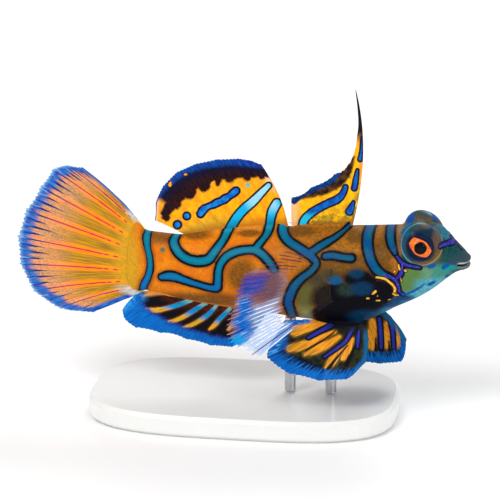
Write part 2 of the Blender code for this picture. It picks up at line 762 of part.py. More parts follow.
def stand_rod(name, x, finish):
    """An upright rod from the base to the belly, its upper end rounded over."""
    low = BASE_THICKNESS + GAP
    high = AXIS_HEIGHT + belly(x) - GAP
    rings = [(low, ROD_RADIUS)]
    rings += [(high - below, ROD_RADIUS * share) for below, share in ROD_END]
    points = []
    for z, radius in rings:
        for k in range(ROD_SIDES):
            angle = 2 * math.pi * k / ROD_SIDES
            points.append((x + radius * math.cos(angle), radius * math.sin(angle), z))
    n = ROD_SIDES
    faces = [tuple(range(n)), tuple(range(len(points) - n, len(points)))]
    for i in range(len(rings) - 1):
        for k in range(n):
            a, b = i * n + k, i * n + (k + 1) % n
            faces.append((a, b, b + n, a + n))
    return mesh_object(name, points, faces, finish, None)


def main():
    for old in list(bpy.data.objects):
        bpy.data.objects.remove(old)
    fish = bpy.data.objects.new("fish", None)
    bpy.context.scene.collection.objects.link(fish)
    fish.location = (0.0, 0.0, AXIS_HEIGHT * MM)

    head_skin = material("head_skin", TEAL, 0.35)
    body_skin = material("body_skin", ORANGE, 0.35)
    dorsal_skin = material("dorsal_membrane", OLIVE, 0.4)
    tail_skin = material("tail_membrane", ORANGE, 0.4)
    lower_skin = material("lower_fin_membrane", BLUE, 0.4)
    clear_skin = material("pectoral_membrane", PALE_BLUE, 0.4)
    eye_skin = material("eye", IRIS, 0.1)
    lacquer = material("stand_lacquer", WHITE_LACQUER, 0.3)
    steel = material("stand_steel", STEEL, 0.25, 1.0)

    head(head_skin, fish)
    trunk(body_skin, fish)
    tail_stock(body_skin, fish)
    eye("eye_right", -1, eye_skin, fish)
    eye("eye_left", 1, eye_skin, fish)
    dorsal_fin_front(dorsal_skin, fish)
    dorsal_fin_rear(dorsal_skin, fish)
    caudal_fin(tail_skin, fish)
    anal_fin(lower_skin, fish)
    pectoral_fin("pectoral_fin_right", -1, clear_skin, fish)
    pectoral_fin("pectoral_fin_left", 1, clear_skin, fish)
    pelvic_fin_right(lower_skin, fish)
    pelvic_fin_left(lower_skin, fish)
    stand_base(lacquer)
    for name, x in ROD_PLACES.items():
        stand_rod(name, x, steel)


main()
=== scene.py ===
# %% [markdown]
# # A mandarinfish, as a museum would show it
# The fish swims level above a small white base, held by two steel rods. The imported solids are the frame:
# they say where everything stands. This lesson puts the looks round them, in the order that a model maker
# would work: one skin for head, trunk and tail with its markings, then the eyes, the fins with their rays,
# the stand, and at last the camera, the floor and the lights.

# %% The frame
import math

import bmesh
import bpy
import numpy as np
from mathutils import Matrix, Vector
from mathutils.bvhtree import BVHTree
from mathutils.kdtree import KDTree


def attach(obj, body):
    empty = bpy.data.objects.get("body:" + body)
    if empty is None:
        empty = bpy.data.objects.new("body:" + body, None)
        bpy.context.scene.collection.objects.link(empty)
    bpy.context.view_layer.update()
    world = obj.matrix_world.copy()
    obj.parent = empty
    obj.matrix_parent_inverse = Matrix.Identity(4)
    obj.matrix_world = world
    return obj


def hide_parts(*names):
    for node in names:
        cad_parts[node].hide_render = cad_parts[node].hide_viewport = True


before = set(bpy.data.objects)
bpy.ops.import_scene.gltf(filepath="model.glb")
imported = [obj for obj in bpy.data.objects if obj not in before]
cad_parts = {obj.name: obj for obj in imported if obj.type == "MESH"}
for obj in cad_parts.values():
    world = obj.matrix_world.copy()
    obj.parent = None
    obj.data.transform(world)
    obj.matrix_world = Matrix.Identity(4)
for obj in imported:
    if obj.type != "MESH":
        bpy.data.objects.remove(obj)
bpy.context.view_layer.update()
print("nodes:", sorted(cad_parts))

# %% [markdown]
# ## Working units
# A fish this small is easier to think about in millimetres. All points below are in millimetres from the
# fish's long axis, with +X to the snout, -Y to its right side and +Z up. One function lifts them to the
# height that the stand gives and turns them into metres when a mesh is made.

# %% Millimetres to metres
MM = 0.001
AXIS_HEIGHT = 24.5


def lift(points):
    """Points from the fish's axis in millimetres to the scene's metres."""
    return (np.asarray(points, float) + (0.0, 0.0, AXIS_HEIGHT)) * MM


def new_object(name, data):
    """Puts a mesh, a light or a camera into the scene."""
    made = bpy.data.objects.new(name, data)
    bpy.context.scene.collection.objects.link(made)
    return made


def set_marks(mesh, marks):
    """Stores each entry of marks as a number at every point of the mesh."""
    for mark, values in marks.items():
        mesh.attributes.new(mark, "FLOAT", "POINT").data.foreach_set("value", np.asarray(values, np.float32))


def new_piece(name, points, faces, marks, finish):
    """A smooth mesh object from points in millimetres, with its marks and its finish."""
    mesh = bpy.data.meshes.new(name)
    mesh.from_pydata(lift(points).tolist(), [], [tuple(int(i) for i in f) for f in faces])
    set_marks(mesh, marks)
    mesh.shade_smooth()
    mesh.materials.append(finish)
    return new_object(name, mesh)


print("the fish's axis stands at", lift((0, 0, 0)).round(4), "m")

# %% [markdown]
# ## Smooth curves and the bend of the tail
# Every fin is drawn from a few key rays and every marking from a few points. A cubic curve runs through
# them, with its slope at each point averaged from the two sides. The tail swings gently to the fish's left,
# so the middle plane has its own small formula, the same as in the solids.

# %% Curves through a few points
# Where the bend begins, over what length, and how far out it leads, in millimetres
SWAY_START, SWAY_LENGTH, SWAY_REACH = -4.0, 32.0, 3.2


def smooth(at, places, values):
    """Values read from the smooth curve through places and values, at each of at."""
    at, x, y = (np.asarray(numbers, float) for numbers in (at, places, values))
    steps = np.diff(y) / np.diff(x)
    slopes = np.concatenate([[steps[0]], (steps[1:] + steps[:-1]) / 2, [steps[-1]]])
    i = np.clip(np.searchsorted(x, at) - 1, 0, len(x) - 2)
    span = x[i + 1] - x[i]
    u = (np.clip(at, x[0], x[-1]) - x[i]) / span
    rise = (1 + 2 * u) * (1 - u) ** 2 * y[i] + u * u * (3 - 2 * u) * y[i + 1]
    lean = u * (1 - u) ** 2 * slopes[i] - u * u * (1 - u) * slopes[i + 1]
    return rise + lean * span


def sway(x):
    """How far the middle plane stands to the left at x."""
    return SWAY_REACH * np.maximum(0.0, (SWAY_START - np.asarray(x, float)) / SWAY_LENGTH) ** 2


def ramp(values, low, high):
    """0 below low, 1 above high and a soft S between."""
    t = np.clip((np.asarray(values, float) - low) / (high - low), 0.0, 1.0)
    return t * t * (3 - 2 * t)


def bell(values, width):
    """1 at 0, falling away softly on both sides."""
    return np.exp(-((values / width) ** 2))


print("the tail's margin stands", float(sway(-37.0).round(2)), "mm to the left")

# %% [markdown]
# ## The drawing plane
# The markings are drawn as on tracing paper laid over the side view: u runs along the fish and w up, in
# millimetres, seen from the camera's side. A drawn point is then carried along the line of sight onto the
# skin. The other flank gets the mirror image, as on the real animal, where both sides nearly match.

# %% The side drawing
VIEW_AZIMUTH, VIEW_ELEVATION = math.radians(9.0), math.radians(17.0)
DRAW_RIGHT = np.array([math.cos(VIEW_AZIMUTH), math.sin(VIEW_AZIMUTH), 0.0])
LEVEL_BACK = np.array([math.sin(VIEW_AZIMUTH), -math.cos(VIEW_AZIMUTH), 0.0])
DRAW_BACK = LEVEL_BACK * math.cos(VIEW_ELEVATION) + (0.0, 0.0, math.sin(VIEW_ELEVATION))
DRAW_UP = np.cross(DRAW_BACK, DRAW_RIGHT)
CAMERA_DISTANCE = 480.0
AIM_RIGHT, AIM_UP = 0.8, 2.4
CAMERA_PLACE = AIM_RIGHT * DRAW_RIGHT + AIM_UP * DRAW_UP + CAMERA_DISTANCE * DRAW_BACK
STROKE_STEP = 0.04


def seen(points):
    """Where points lie on the side drawing, with the camera's perspective."""
    points = np.asarray(points, float)
    nearer = CAMERA_DISTANCE / (CAMERA_DISTANCE - points @ DRAW_BACK)
    u = AIM_RIGHT + (points @ DRAW_RIGHT - AIM_RIGHT) * nearer
    return u, AIM_UP + (points @ DRAW_UP - AIM_UP) * nearer


def draw(points):
    """The same for both flanks: points beyond the middle plane are mirrored to this side first."""
    sides = np.array(points, float)
    middle = sway(sides[:, 0])
    far = sides[:, 1] > middle
    sides[far, 1] = 2 * middle[far] - sides[far, 1]
    return seen(sides)


def stroke(route):
    """A drawn stroke as close points u, w, half width, from a few points of the same three numbers."""
    keys = np.array(route, float)
    if len(keys) == 1:
        return keys
    along = np.concatenate([[0.0], np.cumsum(np.linalg.norm(np.diff(keys[:, :2], axis=0), axis=1))])
    at = np.arange(0.0, along[-1], STROKE_STEP)
    return np.stack([smooth(at, along, keys[:, c]) for c in range(3)], axis=1)


print("drawing plane up:", DRAW_UP.round(3))

# %% [markdown]
# ## One skin
# The head, trunk and tail of the frame meet at thin cuts, which no living fish shows. Copies of the three
# solids are stretched across the cuts and joined with the two eye mounds, the forehead between them and the
# fleshy roots of the fins. A voxel remesh wraps them all in one skin. A few rounds of averaging then melt
# the flat facets and round the creases where a fin or an eye grows out, while the lips keep their edges.

# %% Where the fins grow
# Each key ray of a fin on the middle plane: its place along the root, then x, z of root, bend and tip. The
# middle plane's sway gives them y.
MIDDLE_FINS = {
    "dorsal_fin_front": (
        (0, (17.1, 7.5), (20.1, 19.7), (17.5, 29.5)),
        (0.05, (16.6, 7.48), (19.1, 16.5), (17.9, 24.6)),
        (0.1, (16.1, 7.45), (18.2, 14.6), (17.5, 20.6)),
        (0.2, (15.2, 7.42), (16.6, 12.7), (16.1, 17.3)),
        (0.34, (13.9, 7.35), (14.6, 11.7), (14.4, 15.8)),
        (0.6, (11.4, 7.23), (11.6, 10.6), (11.3, 13.9)),
        (0.8, (9.5, 7.1), (9.3, 9.8), (9.3, 12.4)),
        (1, (7.7, 6.97), (7.5, 9), (7.5, 11.6)),
    ),
    "dorsal_fin_rear": (
        (0, (6.8, 6.87), (5.9, 12.3), (2.2, 17.3)),
        (0.2, (3.4, 6.45), (0.5, 12.5), (-2.4, 17.5)),
        (0.4, (0, 6), (-3.9, 11.7), (-7.3, 16.7)),
        (0.6, (-3.4, 5.57), (-7.9, 10.2), (-11.5, 14.5)),
        (0.8, (-6.7, 5.1), (-10.9, 8.1), (-14.3, 10.6)),
        (1, (-9.9, 4.8), (-12, 5.8), (-14.7, 6.7)),
    ),
    "anal_fin": (
        (0, (3.5, -7.5), (2.2, -10.1), (0.5, -12.7)),
        (0.2, (0.8, -7.2), (-1.3, -11.1), (-2.7, -14)),
        (0.4, (-2, -6.98), (-5, -10.5), (-7.3, -13.7)),
        (0.6, (-4.8, -6.75), (-9, -9.4), (-12.4, -12.5)),
        (0.8, (-7.8, -6.45), (-13.3, -7.9), (-17.2, -11.8)),
        (0.92, (-9.8, -6.2), (-16, -6.3), (-20.1, -10.7)),
        (1, (-12.6, -5.75), (-17.6, -4), (-20.3, -8.9)),
    ),
    "caudal_fin": (
        (0, (-16.3, 4.9), (-20.3, 10.6), (-26.8, 14.6)),
        (0.12, (-16.3, 4), (-22, 9.5), (-30.9, 14.4)),
        (0.3, (-16.3, 2.2), (-24.5, 6.3), (-34.2, 10.3)),
        (0.5, (-16.3, 0), (-26, 2.3), (-37.5, 3.9)),
        (0.7, (-16.3, -2.2), (-26.5, -1.8), (-37.8, -2.8)),
        (0.85, (-16.3, -3.8), (-25.5, -4.7), (-34.9, -7.8)),
        (0.95, (-16.3, -4.6), (-23, -6.3), (-29.7, -9.9)),
        (1, (-16.3, -5), (-19.5, -7), (-25.3, -9.7)),
    ),
}
# The same for the paired fins, with x, y, z
PAIRED_FINS = {
    "pectoral_fin_right": (
        (0, (15.6, -6.4, 2.3), (11.5, -8.6, 4.7), (6.4, -11.2, 6.2)),
        (0.2, (15.6, -6.75, 1.3), (9.3, -9, 3), (2.2, -12.2, 3)),
        (0.4, (15.6, -6.95, 0.3), (8.6, -9.4, 0.3), (0.3, -12.6, -1.2)),
        (0.6, (15.6, -7.03, -0.7), (8.5, -9.6, -2.3), (-0.9, -12.7, -6)),
        (0.78, (15.6, -7, -1.6), (8.8, -9.6, -4.5), (-0.2, -12.5, -9.3)),
        (0.9, (15.6, -6.94, -2.2), (9.7, -9.5, -5.3), (1.9, -12.2, -10.1)),
        (1, (15.6, -6.88, -2.7), (10.2, -9.4, -5.9), (3.8, -12, -11.6)),
    ),
    "pelvic_fin_right": (
        (0, (19.7, -3.9, -7.2), (21.3, -6.5, -10.2), (20.4, -7.5, -12.9)),
        (0.18, (18.7, -3.9, -7.41), (19.6, -7.2, -12), (18, -8.6, -15.2)),
        (0.36, (17.7, -3.9, -7.55), (17, -7.6, -12.2), (14.2, -9.4, -15.6)),
        (0.54, (16.7, -3.9, -7.64), (14.5, -7.6, -11.6), (10, -9.8, -14.9)),
        (0.72, (15.5, -3.9, -7.68), (12, -7.4, -10.3), (5.9, -9.8, -13.2)),
        (0.88, (13.7, -3.9, -7.6), (10.2, -7.2, -8.9), (5, -9.4, -10.2)),
        (1, (12, -3.9, -7.49), (9.9, -6.8, -6.4), (7.7, -8.6, -6.1)),
    ),
    "pelvic_fin_left": (
        (0, (20.5, 3.9, -6.97), (24.2, 5.4, -9.6), (25.7, 6.1, -13.6)),
        (0.18, (19, 3.9, -7.35), (23.1, 5.7, -12.2), (24.9, 6.6, -16.9)),
        (0.36, (18.1, 3.9, -7.5), (20.9, 5.8, -13.1), (21.9, 6.7, -17.9)),
        (0.54, (17.2, 3.9, -7.6), (18.4, 5.8, -13.1), (17.8, 6.7, -17.8)),
        (0.72, (16.2, 3.9, -7.67), (15.6, 5.7, -12.5), (13.9, 6.7, -16.6)),
        (0.88, (14.6, 3.9, -7.65), (13.2, 5.5, -11), (11, 6.5, -13.4)),
        (1, (13, 3.9, -7.55), (11.6, 5.3, -9.6), (10, 6.2, -10.8)),
    ),
}
FINS = {
    fin: tuple((t, *((x, 0, z) for x, z in points)) for t, *points in rays)
    for fin, rays in MIDDLE_FINS.items()
}
FINS.update(PAIRED_FINS)
FINS["pectoral_fin_left"] = tuple(
    (t, *((x, -y, z) for x, y, z in points)) for t, *points in FINS["pectoral_fin_right"]
)


def on_fin(fin, t, v):
    """Points of a fin's middle surface: t runs from its first ray to its last, v from root to margin."""
    keys = FINS[fin]
    places = [k[0] for k in keys]
    root, bend, tip = (
        np.stack([smooth(t, places, [k[part][c] for k in keys]) for c in range(3)], axis=-1)
        for part in (1, 2, 3)
    )
    v = np.asarray(v, float)[..., None]
    place = (1 - v) ** 2 * root + 2 * v * (1 - v) * bend + v * v * tip
    if fin in MIDDLE_FINS:
        place[..., 1] = sway(place[..., 0])
    return place


def across_fin(fin, t, v, step=1e-3):
    """Unit vectors square to the fin's surface."""
    inside, v = np.clip(t, step, 1 - step), np.asarray(v)
    side = on_fin(fin, inside + step, v) - on_fin(fin, inside - step, v)
    square = np.cross(side, on_fin(fin, t, v + step) - on_fin(fin, t, v - step))
    return square / np.linalg.norm(square, axis=-1)[..., None]


def sheet_between(middle, square, half):
    """A closed sheet round a grid of middle points: its points and its faces."""
    n, m = middle.shape[:2]
    off = square * half
    points = np.concatenate([(middle + off).reshape(-1, 3), (middle - off).reshape(-1, 3)])
    index = np.arange(n * m).reshape(n, m)
    quads = np.stack([index[:-1, :-1], index[1:, :-1], index[1:, 1:], index[:-1, 1:]], axis=-1).reshape(-1, 4)
    rim = np.concatenate([index[:, 0], index[-1, 1:], index[-2::-1, -1], index[0, -2:0:-1]])
    following = np.roll(rim, -1)
    edge = np.stack([following, rim, rim + n * m, following + n * m], axis=-1)
    return points, np.concatenate([quads, quads[:, ::-1] + n * m, edge])


print("fins:", len(FINS))

# %% The parts that the skin is wrapped round
CUT_OVERLAP = 0.45
END_SLICE = 0.02
MOUND_CENTRE = (28.36, 3.4, 5.87)
# Radii of an eye mound along, up and out, and how far it toes in, leans back and tips up
MOUND_RADII = (3.35, 3.85, 2.83)
MOUND_TOE, MOUND_LEAN, MOUND_TIP = (math.radians(angle) for angle in (22.0, 32.0, 8.5))
# The forehead between the mounds: its middle, its radii down the snout, outwards and across, and its slope
FOREHEAD_CENTRE = (31.1, 0.0, 6.9)
FOREHEAD_RADII = (1.9, 1.15, 1.9)
FOREHEAD_SLOPE = math.radians(44.0)
# Root flesh of each fin: how far up the fin it reaches and its thickness in millimetres
FLESH = {
    "dorsal_fin_front": (0.06, 0.8), "dorsal_fin_rear": (0.06, 0.8), "anal_fin": (0.07, 0.8),
    "caudal_fin": (0.16, 3.2), "pectoral_fin_right": (0.08, 0.8), "pectoral_fin_left": (0.08, 0.8),
    "pelvic_fin_right": (0.07, 0.9), "pelvic_fin_left": (0.07, 0.9),
}
# Where a fin begins, as a share of its rays, and how many columns and rows its flesh has
FIN_START = -0.05
FLESH_GRID = (60, 14)


def flesh_root(fin):
    """The thick fleshy foot of a fin, which thins out where the membrane begins."""
    reach, thickness = FLESH[fin]
    columns, rows = FLESH_GRID
    t, v = np.meshgrid(np.linspace(0, 1, columns), np.linspace(FIN_START, reach, rows), indexing="ij")
    half = thickness / 2 * np.clip(1 - np.maximum(v, 0) / (reach * 1.15), 0, 1) ** 0.7
    ends = 0.35 + 0.65 * ramp(np.minimum(t, 1 - t), 0.0, 0.08)
    return sheet_between(on_fin(fin, t, v), across_fin(fin, t, v), (half * ends)[..., None])


def mound_centre(side):
    return np.array([MOUND_CENTRE[0], side * MOUND_CENTRE[1], MOUND_CENTRE[2]])


def turned(first, second, angle):
    """Two directions square to each other, turned so that the first moves towards the second."""
    along, across = math.cos(angle), math.sin(angle)
    return first * along + second * across, second * along - first * across


def mound_axes(side):
    """Axes of an eye mound as columns: along, up and out. side is -1 on the right."""
    along = np.array([math.cos(MOUND_TOE), -side * math.sin(MOUND_TOE), 0.0])
    out = np.array([math.sin(MOUND_TOE), side * math.cos(MOUND_TOE), 0.0])
    out, up = turned(out, np.array([0.0, 0.0, 1.0]), MOUND_TIP)
    along, up = turned(along, up, MOUND_LEAN)
    return np.column_stack([along, up, out])


def ball(centre, radii, turn, segments=56, rings=36):
    """A closed ball stretched to radii along the columns of turn: points and faces."""
    polar = math.pi * np.arange(1, rings) / rings
    round_angle = 2 * math.pi * np.arange(segments) / segments
    p, a = np.meshgrid(polar, round_angle, indexing="ij")
    body = np.stack([np.sin(p) * np.cos(a), np.sin(p) * np.sin(a), np.cos(p)], axis=-1).reshape(-1, 3)
    shape = np.concatenate([[(0, 0, 1)], body, [(0, 0, -1)]]) * radii
    last = len(shape) - 1
    faces = []
    for k in range(segments):
        n = (k + 1) % segments
        faces += [(0, 1 + k, 1 + n), (last, last - segments + n, last - segments + k)]
        for start in range(1, 1 + (rings - 2) * segments, segments):
            faces.append((start + k, start + segments + k, start + segments + n, start + n))
    if np.linalg.det(turn) < 0:
        faces = [face[::-1] for face in faces]
    return shape @ np.asarray(turn).T + np.asarray(centre, float), faces


def solid_copy(node):
    """A frame node's mesh as points and faces, with its loose triangles joined."""
    work = bmesh.new()
    work.from_mesh(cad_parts[node].data)
    bmesh.ops.remove_doubles(work, verts=work.verts, dist=1e-7)
    points = np.array([v.co[:] for v in work.verts]) / MM - (0.0, 0.0, AXIS_HEIGHT)
    work.verts.index_update()
    faces = [tuple(v.index for v in f.verts) for f in work.faces]
    work.free()
    return points, faces


parts = []
for node in ("head", "trunk", "tail_stock"):
    points, faces = solid_copy(node)
    low, high = points[:, 0].min(), points[:, 0].max()
    if node != "tail_stock":
        points[points[:, 0] < low + END_SLICE, 0] -= CUT_OVERLAP
    if node != "head":
        points[points[:, 0] > high - END_SLICE, 0] += CUT_OVERLAP
    parts.append((points, faces))
parts += [ball(mound_centre(side), MOUND_RADII, mound_axes(side)) for side in (-1, 1)]
down, outwards = math.cos(FOREHEAD_SLOPE), math.sin(FOREHEAD_SLOPE)
forehead_axes = np.array([(down, outwards, 0.0), (0.0, 0.0, -1.0), (-outwards, down, 0.0)])
parts.append(ball(FOREHEAD_CENTRE, FOREHEAD_RADII, forehead_axes))
parts += [flesh_root(fin) for fin in FLESH]
print("parts under the skin:", len(parts))

# %% Wrapping and smoothing
SKIN_VOXEL = 0.178
SMOOTH_ROUNDS = 38
# Share of the way that a point moves in a round, where along the fish that share falls to spare the lips
# and nostrils, and how much of it they are spared
SMOOTH_SHARE, SNOUT, SPARED = 0.5, (31.6, 33.6), 0.95


def wrap(shapes):
    """One closed skin round overlapping shapes, in millimetres: its points and faces."""
    faces, start = [], 0
    for points, own in shapes:
        faces += [tuple(int(i) + start for i in face) for face in own]
        start += len(points)
    mesh = bpy.data.meshes.new("rough")
    mesh.from_pydata(np.concatenate([points for points, _ in shapes]).tolist(), [], faces)
    rough = new_object("rough", mesh)
    remesh = rough.modifiers.new("wrap", "REMESH")
    remesh.mode = "VOXEL"
    remesh.voxel_size = SKIN_VOXEL
    wrapped = bpy.data.meshes.new_from_object(rough.evaluated_get(bpy.context.evaluated_depsgraph_get()))
    bpy.data.objects.remove(rough)
    points = np.array([v.co[:] for v in wrapped.vertices])
    faces = [tuple(p.vertices) for p in wrapped.polygons]
    bpy.data.meshes.remove(wrapped)
    return points, faces


def gathered(index, rows, count):
    """For each number below count, the sum of the rows that index sends to it."""
    return np.stack([np.bincount(index, rows[:, c], count) for c in range(3)], axis=1)


def relax(points, edges, share):
    """Moves each point towards the middle of its neighbours, by share of the way, round after round."""
    count = len(points)
    first, second = edges.T
    degree = np.bincount(edges.ravel(), minlength=count)[:, None]
    for _ in range(SMOOTH_ROUNDS):
        total = gathered(first, points[second], count) + gathered(second, points[first], count)
        points = points + share[:, None] * (total / degree - points)
    return points


skin_points, skin_faces = wrap(parts)
skin_quads = np.array(skin_faces)
skin_edges = np.concatenate([skin_quads[:, [k, (k + 1) % 4]] for k in range(4)])
skin_edges = np.unique(np.sort(skin_edges, axis=1), axis=0)
share = SMOOTH_SHARE * (1 - SPARED * ramp(skin_points[:, 0], *SNOUT))
skin_points = relax(skin_points, skin_edges, share)
print("skin:", len(skin_points), "points,", len(skin_faces), "faces")

# %% [markdown]
# ## Paint by sums
# Shader maths reads best as plain arithmetic. One small class holds a socket and lets it be added and
# multiplied like a number, turned into two tones, or coated with other colours. Another holds a material
# and adds any node in one line. The patterns use object coordinates or the numbers stored at the mesh's
# points, so that the paint stays on the fish from every side.

# %% A socket that can be reckoned with
class Value:
    """A socket of a material, with the usual arithmetic. Colours are three numbers from 0 to 255."""

    def __init__(self, paint, socket):
        self.paint, self.socket = paint, socket

    def math(self, operation, *others):
        return self.paint.node("ShaderNodeMath", {"operation": operation}, dict(enumerate(others)))

    def __add__(self, other):
        return self.math("ADD", self, other)

    def __sub__(self, other):
        return self.math("SUBTRACT", self, other)

    def __rsub__(self, other):
        return self.math("SUBTRACT", other, self)

    def __mul__(self, other):
        return self.math("MULTIPLY", self, other)

    def __truediv__(self, other):
        return self.math("DIVIDE", self, other)

    def __pow__(self, other):
        return self.math("POWER", self, other)

    __radd__, __rmul__ = __add__, __mul__

    def absolute(self):
        return self.math("ABSOLUTE", self)

    def sine(self):
        return self.math("SINE", self)

    def at_most(self, other):
        return self.math("MINIMUM", self, other)

    def at_least(self, other):
        return self.math("MAXIMUM", self, other)

    def step(self, low, high):
        """0 at low and 1 at high, with a soft S between; low may be the larger."""
        ends = (0.0, 1.0) if low < high else (1.0, 0.0)
        values = {0: self, 1: min(low, high), 2: max(low, high), 3: ends[0], 4: ends[1]}
        return self.paint.node("ShaderNodeMapRange", {"interpolation_type": "SMOOTHSTEP"}, values)

    def tones(self, first, second, low=0.35, high=0.65):
        """The first colour where this value is at low, the second where it is at high."""
        return self.paint.mix(self.step(low, high), first, second)

    def coats(self, *layers):
        """This colour with others laid over it in turn. Each layer says how much, from 0 to 1, and what."""
        colour = self
        for cover, upper in layers:
            colour = self.paint.mix(cover, colour, upper)
        return colour

    def inlay(self, distance, core, edge, width):
        """This colour with a stroke set into it: the core, and a dark edge of the given width round it."""
        with_edge = self.coats((distance.step(width + 0.1, width - 0.06), edge))
        return with_edge.coats((distance.step(0.05, -0.05), core))


def shade(red, green, blue):
    """A colour given as on a screen, 0 to 255, in the linear form that shaders take."""
    parts = (c / 255 for c in (red, green, blue))
    return tuple(c / 12.92 if c <= 0.04045 else ((c + 0.055) / 1.055) ** 2.4 for c in parts) + (1.0,)


class Paint:
    """A material in the making."""

    def __init__(self, name):
        self.material = bpy.data.materials.new(name)
        self.material.use_nodes = True
        self.tree = self.material.node_tree
        self.shader = self.tree.nodes["Principled BSDF"]

    def node(self, kind, settings=None, values=None, output=0):
        """Adds a node: its settings first, then its inputs by name or number. Returns one output."""
        made = self.tree.nodes.new(kind)
        for name, setting in (settings or {}).items():
            setattr(made, name, setting)
        for name, value in (values or {}).items():
            self.feed(made.inputs[name], value)
        return Value(self, made.outputs[output])

    def feed(self, socket, value):
        """Links a value, or sets a number or a colour."""
        if isinstance(value, Value):
            self.tree.links.new(value.socket, socket)
        else:
            socket.default_value = shade(*value) if isinstance(value, tuple) else value

    def mark(self, name):
        """A number stored at the mesh's points."""
        return self.node("ShaderNodeAttribute", {"attribute_name": name}, output=2)

    def marks(self, *names):
        return [self.mark(name) for name in names]

    def rough_mark(self, name, amount, per_mm=2.0):
        """A stroke's distance with a slightly uneven edge."""
        return self.mark(name) + (self.noise(per_mm) - 0.5) * amount

    def place(self):
        """Object coordinates, in metres."""
        return self.node("ShaderNodeTexCoord", output=3)

    def ahead(self):
        """How far forward along the fish, in millimetres."""
        return self.node("ShaderNodeSeparateXYZ", {}, {0: self.place()}, output=0) / MM

    def height(self):
        """Height over the fish's axis, in millimetres."""
        return self.node("ShaderNodeSeparateXYZ", {}, {0: self.place()}, output=2) / MM - AXIS_HEIGHT

    def noise(self, per_mm, detail=3.0):
        """Soft noise between 0 and 1, about as many blots to the millimetre as per_mm."""
        values = {"Vector": self.place(), "Scale": per_mm / MM, "Detail": detail, "Roughness": 0.55}
        return self.node("ShaderNodeTexNoise", {}, values)

    def threads(self, across, along):
        """Noise drawn out along a fin's rays: so many blots across the fin and so many from root to tip."""
        counts = {0: self.mark("across") * across, 1: self.mark("along") * along}
        vector = self.node("ShaderNodeCombineXYZ", {}, counts)
        values = {"Vector": vector, "Scale": 1.0, "Detail": 3.0, "Roughness": 0.6}
        return self.node("ShaderNodeTexNoise", {}, values)

    def mix(self, factor, first, second):
        return self.node("ShaderNodeMix", {"data_type": "RGBA"}, {0: factor, 6: first, 7: second}, output=2)

    def bump(self, height, distance, strength):
        values = {"Height": height, "Distance": distance * MM, "Strength": strength}
        return self.node("ShaderNodeBump", {}, values)

    def finish(self, **sockets):
        """Sets the shader's sockets, named with _ for a space, and hands the material back."""
        for name, value in sockets.items():
            self.feed(self.shader.inputs[name.replace("_", " ")], value)
        return self.material


print("a mid grey for the shader:", round(shade(128, 128, 128)[0], 3))

# %% [markdown]
# ## The stripes
# A mandarinfish is known by its winding stripes: blue-green cores with black edges on orange. Each stripe
# is drawn with a few points and its own half width, carried onto the skin, and stored as a distance: how
# far each point of the skin lies from the nearest stripe's edge. The shader turns that distance into a
# core, a black edge and a brown haze, and all of them stay crisp at any zoom.

# %% Stripes, lines and spots on the body
# Points u, w, half width, in millimetres on the side drawing
STRIPES = (
    ((-15.2, 6.3, 0.4), (-15.4, 5.5, 0.45), (-15.7, 4.7, 0.5), (-15.65, 3, 0.48), (-15.3, 1.3, 0.46),
     (-15.2, -0.4, 0.46), (-15.6, -2, 0.5), (-16.2, -3.3, 0.5), (-16.4, -5, 0.45)),
    ((-10.6, 5.6, 0.4), (-10.95, 4.8, 0.5), (-11.4, 3.9, 0.58), (-11.1, 2.7, 0.58), (-10.2, 1.55, 0.56),
     (-8.8, 0.8, 0.58), (-7.1, 0.6, 0.6), (-5.8, 0.95, 0.62), (-5, 1.9, 0.6), (-4.3, 2.9, 0.58),
     (-3.4, 4.2, 0.56), (-2.6, 5.8, 0.56), (-1.75, 7.3, 0.6)),
    ((-13.4, -1.95, 0.38), (-12.4, -1.8, 0.56), (-11.2, -1.9, 0.62), (-9.8, -2.4, 0.5), (-7.3, -3.2, 0.4),
     (-5.6, -3.65, 0.44), (-4.55, -3.65, 0.52), (-4.35, -2.5, 0.5), (-4.25, -1, 0.48), (-3.8, 0.35, 0.5),
     (-2.9, 1.4, 0.54), (-1.4, 2.15, 0.54), (0.4, 2.45, 0.52), (1.7, 2.35, 0.56), (2.9, 1.55, 0.52),
     (4, 0.3, 0.5), (4.7, -0.7, 0.42)),
    ((1.5, 2.4, 0.5), (2.6, 3.8, 0.46), (3.45, 4.85, 0.5), (3.9, 6.2, 0.52), (4.1, 7.6, 0.5)),
    ((6.5, 7.2, 0.45), (6.15, 6.3, 0.58), (6.1, 5.3, 0.62), (6.95, 3.9, 0.6), (8.4, 2.9, 0.56),
     (9.7, 2.05, 0.56), (10.7, 1.3, 0.5), (11.4, 0.2, 0.4), (10.6, -0.95, 0.42), (9.1, -2.1, 0.48),
     (7.85, -3.45, 0.55), (7.25, -4.8, 0.6), (6.95, -6.1, 0.62), (7.3, -7.3, 0.6), (7.8, -8.6, 0.5)),
    ((10.4, 1.9, 0.5), (11.85, 2.9, 0.5), (13.15, 3.7, 0.5), (14.5, 4.5, 0.42), (15.6, 5.35, 0.34),
     (16.5, 6.1, 0.22), (17.2, 6.9, 0.15)),
    ((12.85, 1.4, 0.42), (14.1, 1.5, 0.46), (15.4, 1.25, 0.42), (17, 1.1, 0.46)),
    ((20.4, 7.6, 0.55), (20.1, 6.3, 0.62), (19.7, 5, 0.66), (19.6, 3.4, 0.66), (19.85, 1.75, 0.62),
     (20.35, 0.3, 0.6), (21.15, -0.85, 0.58), (22.2, -1.55, 0.42), (23.3, -1.95, 0.26)),
    ((23.6, 7.6, 0.45), (23.4, 6.3, 0.5), (23.25, 5, 0.52), (23.35, 3.85, 0.5), (23.65, 2.75, 0.4),
     (24.05, 1.8, 0.2)),
)
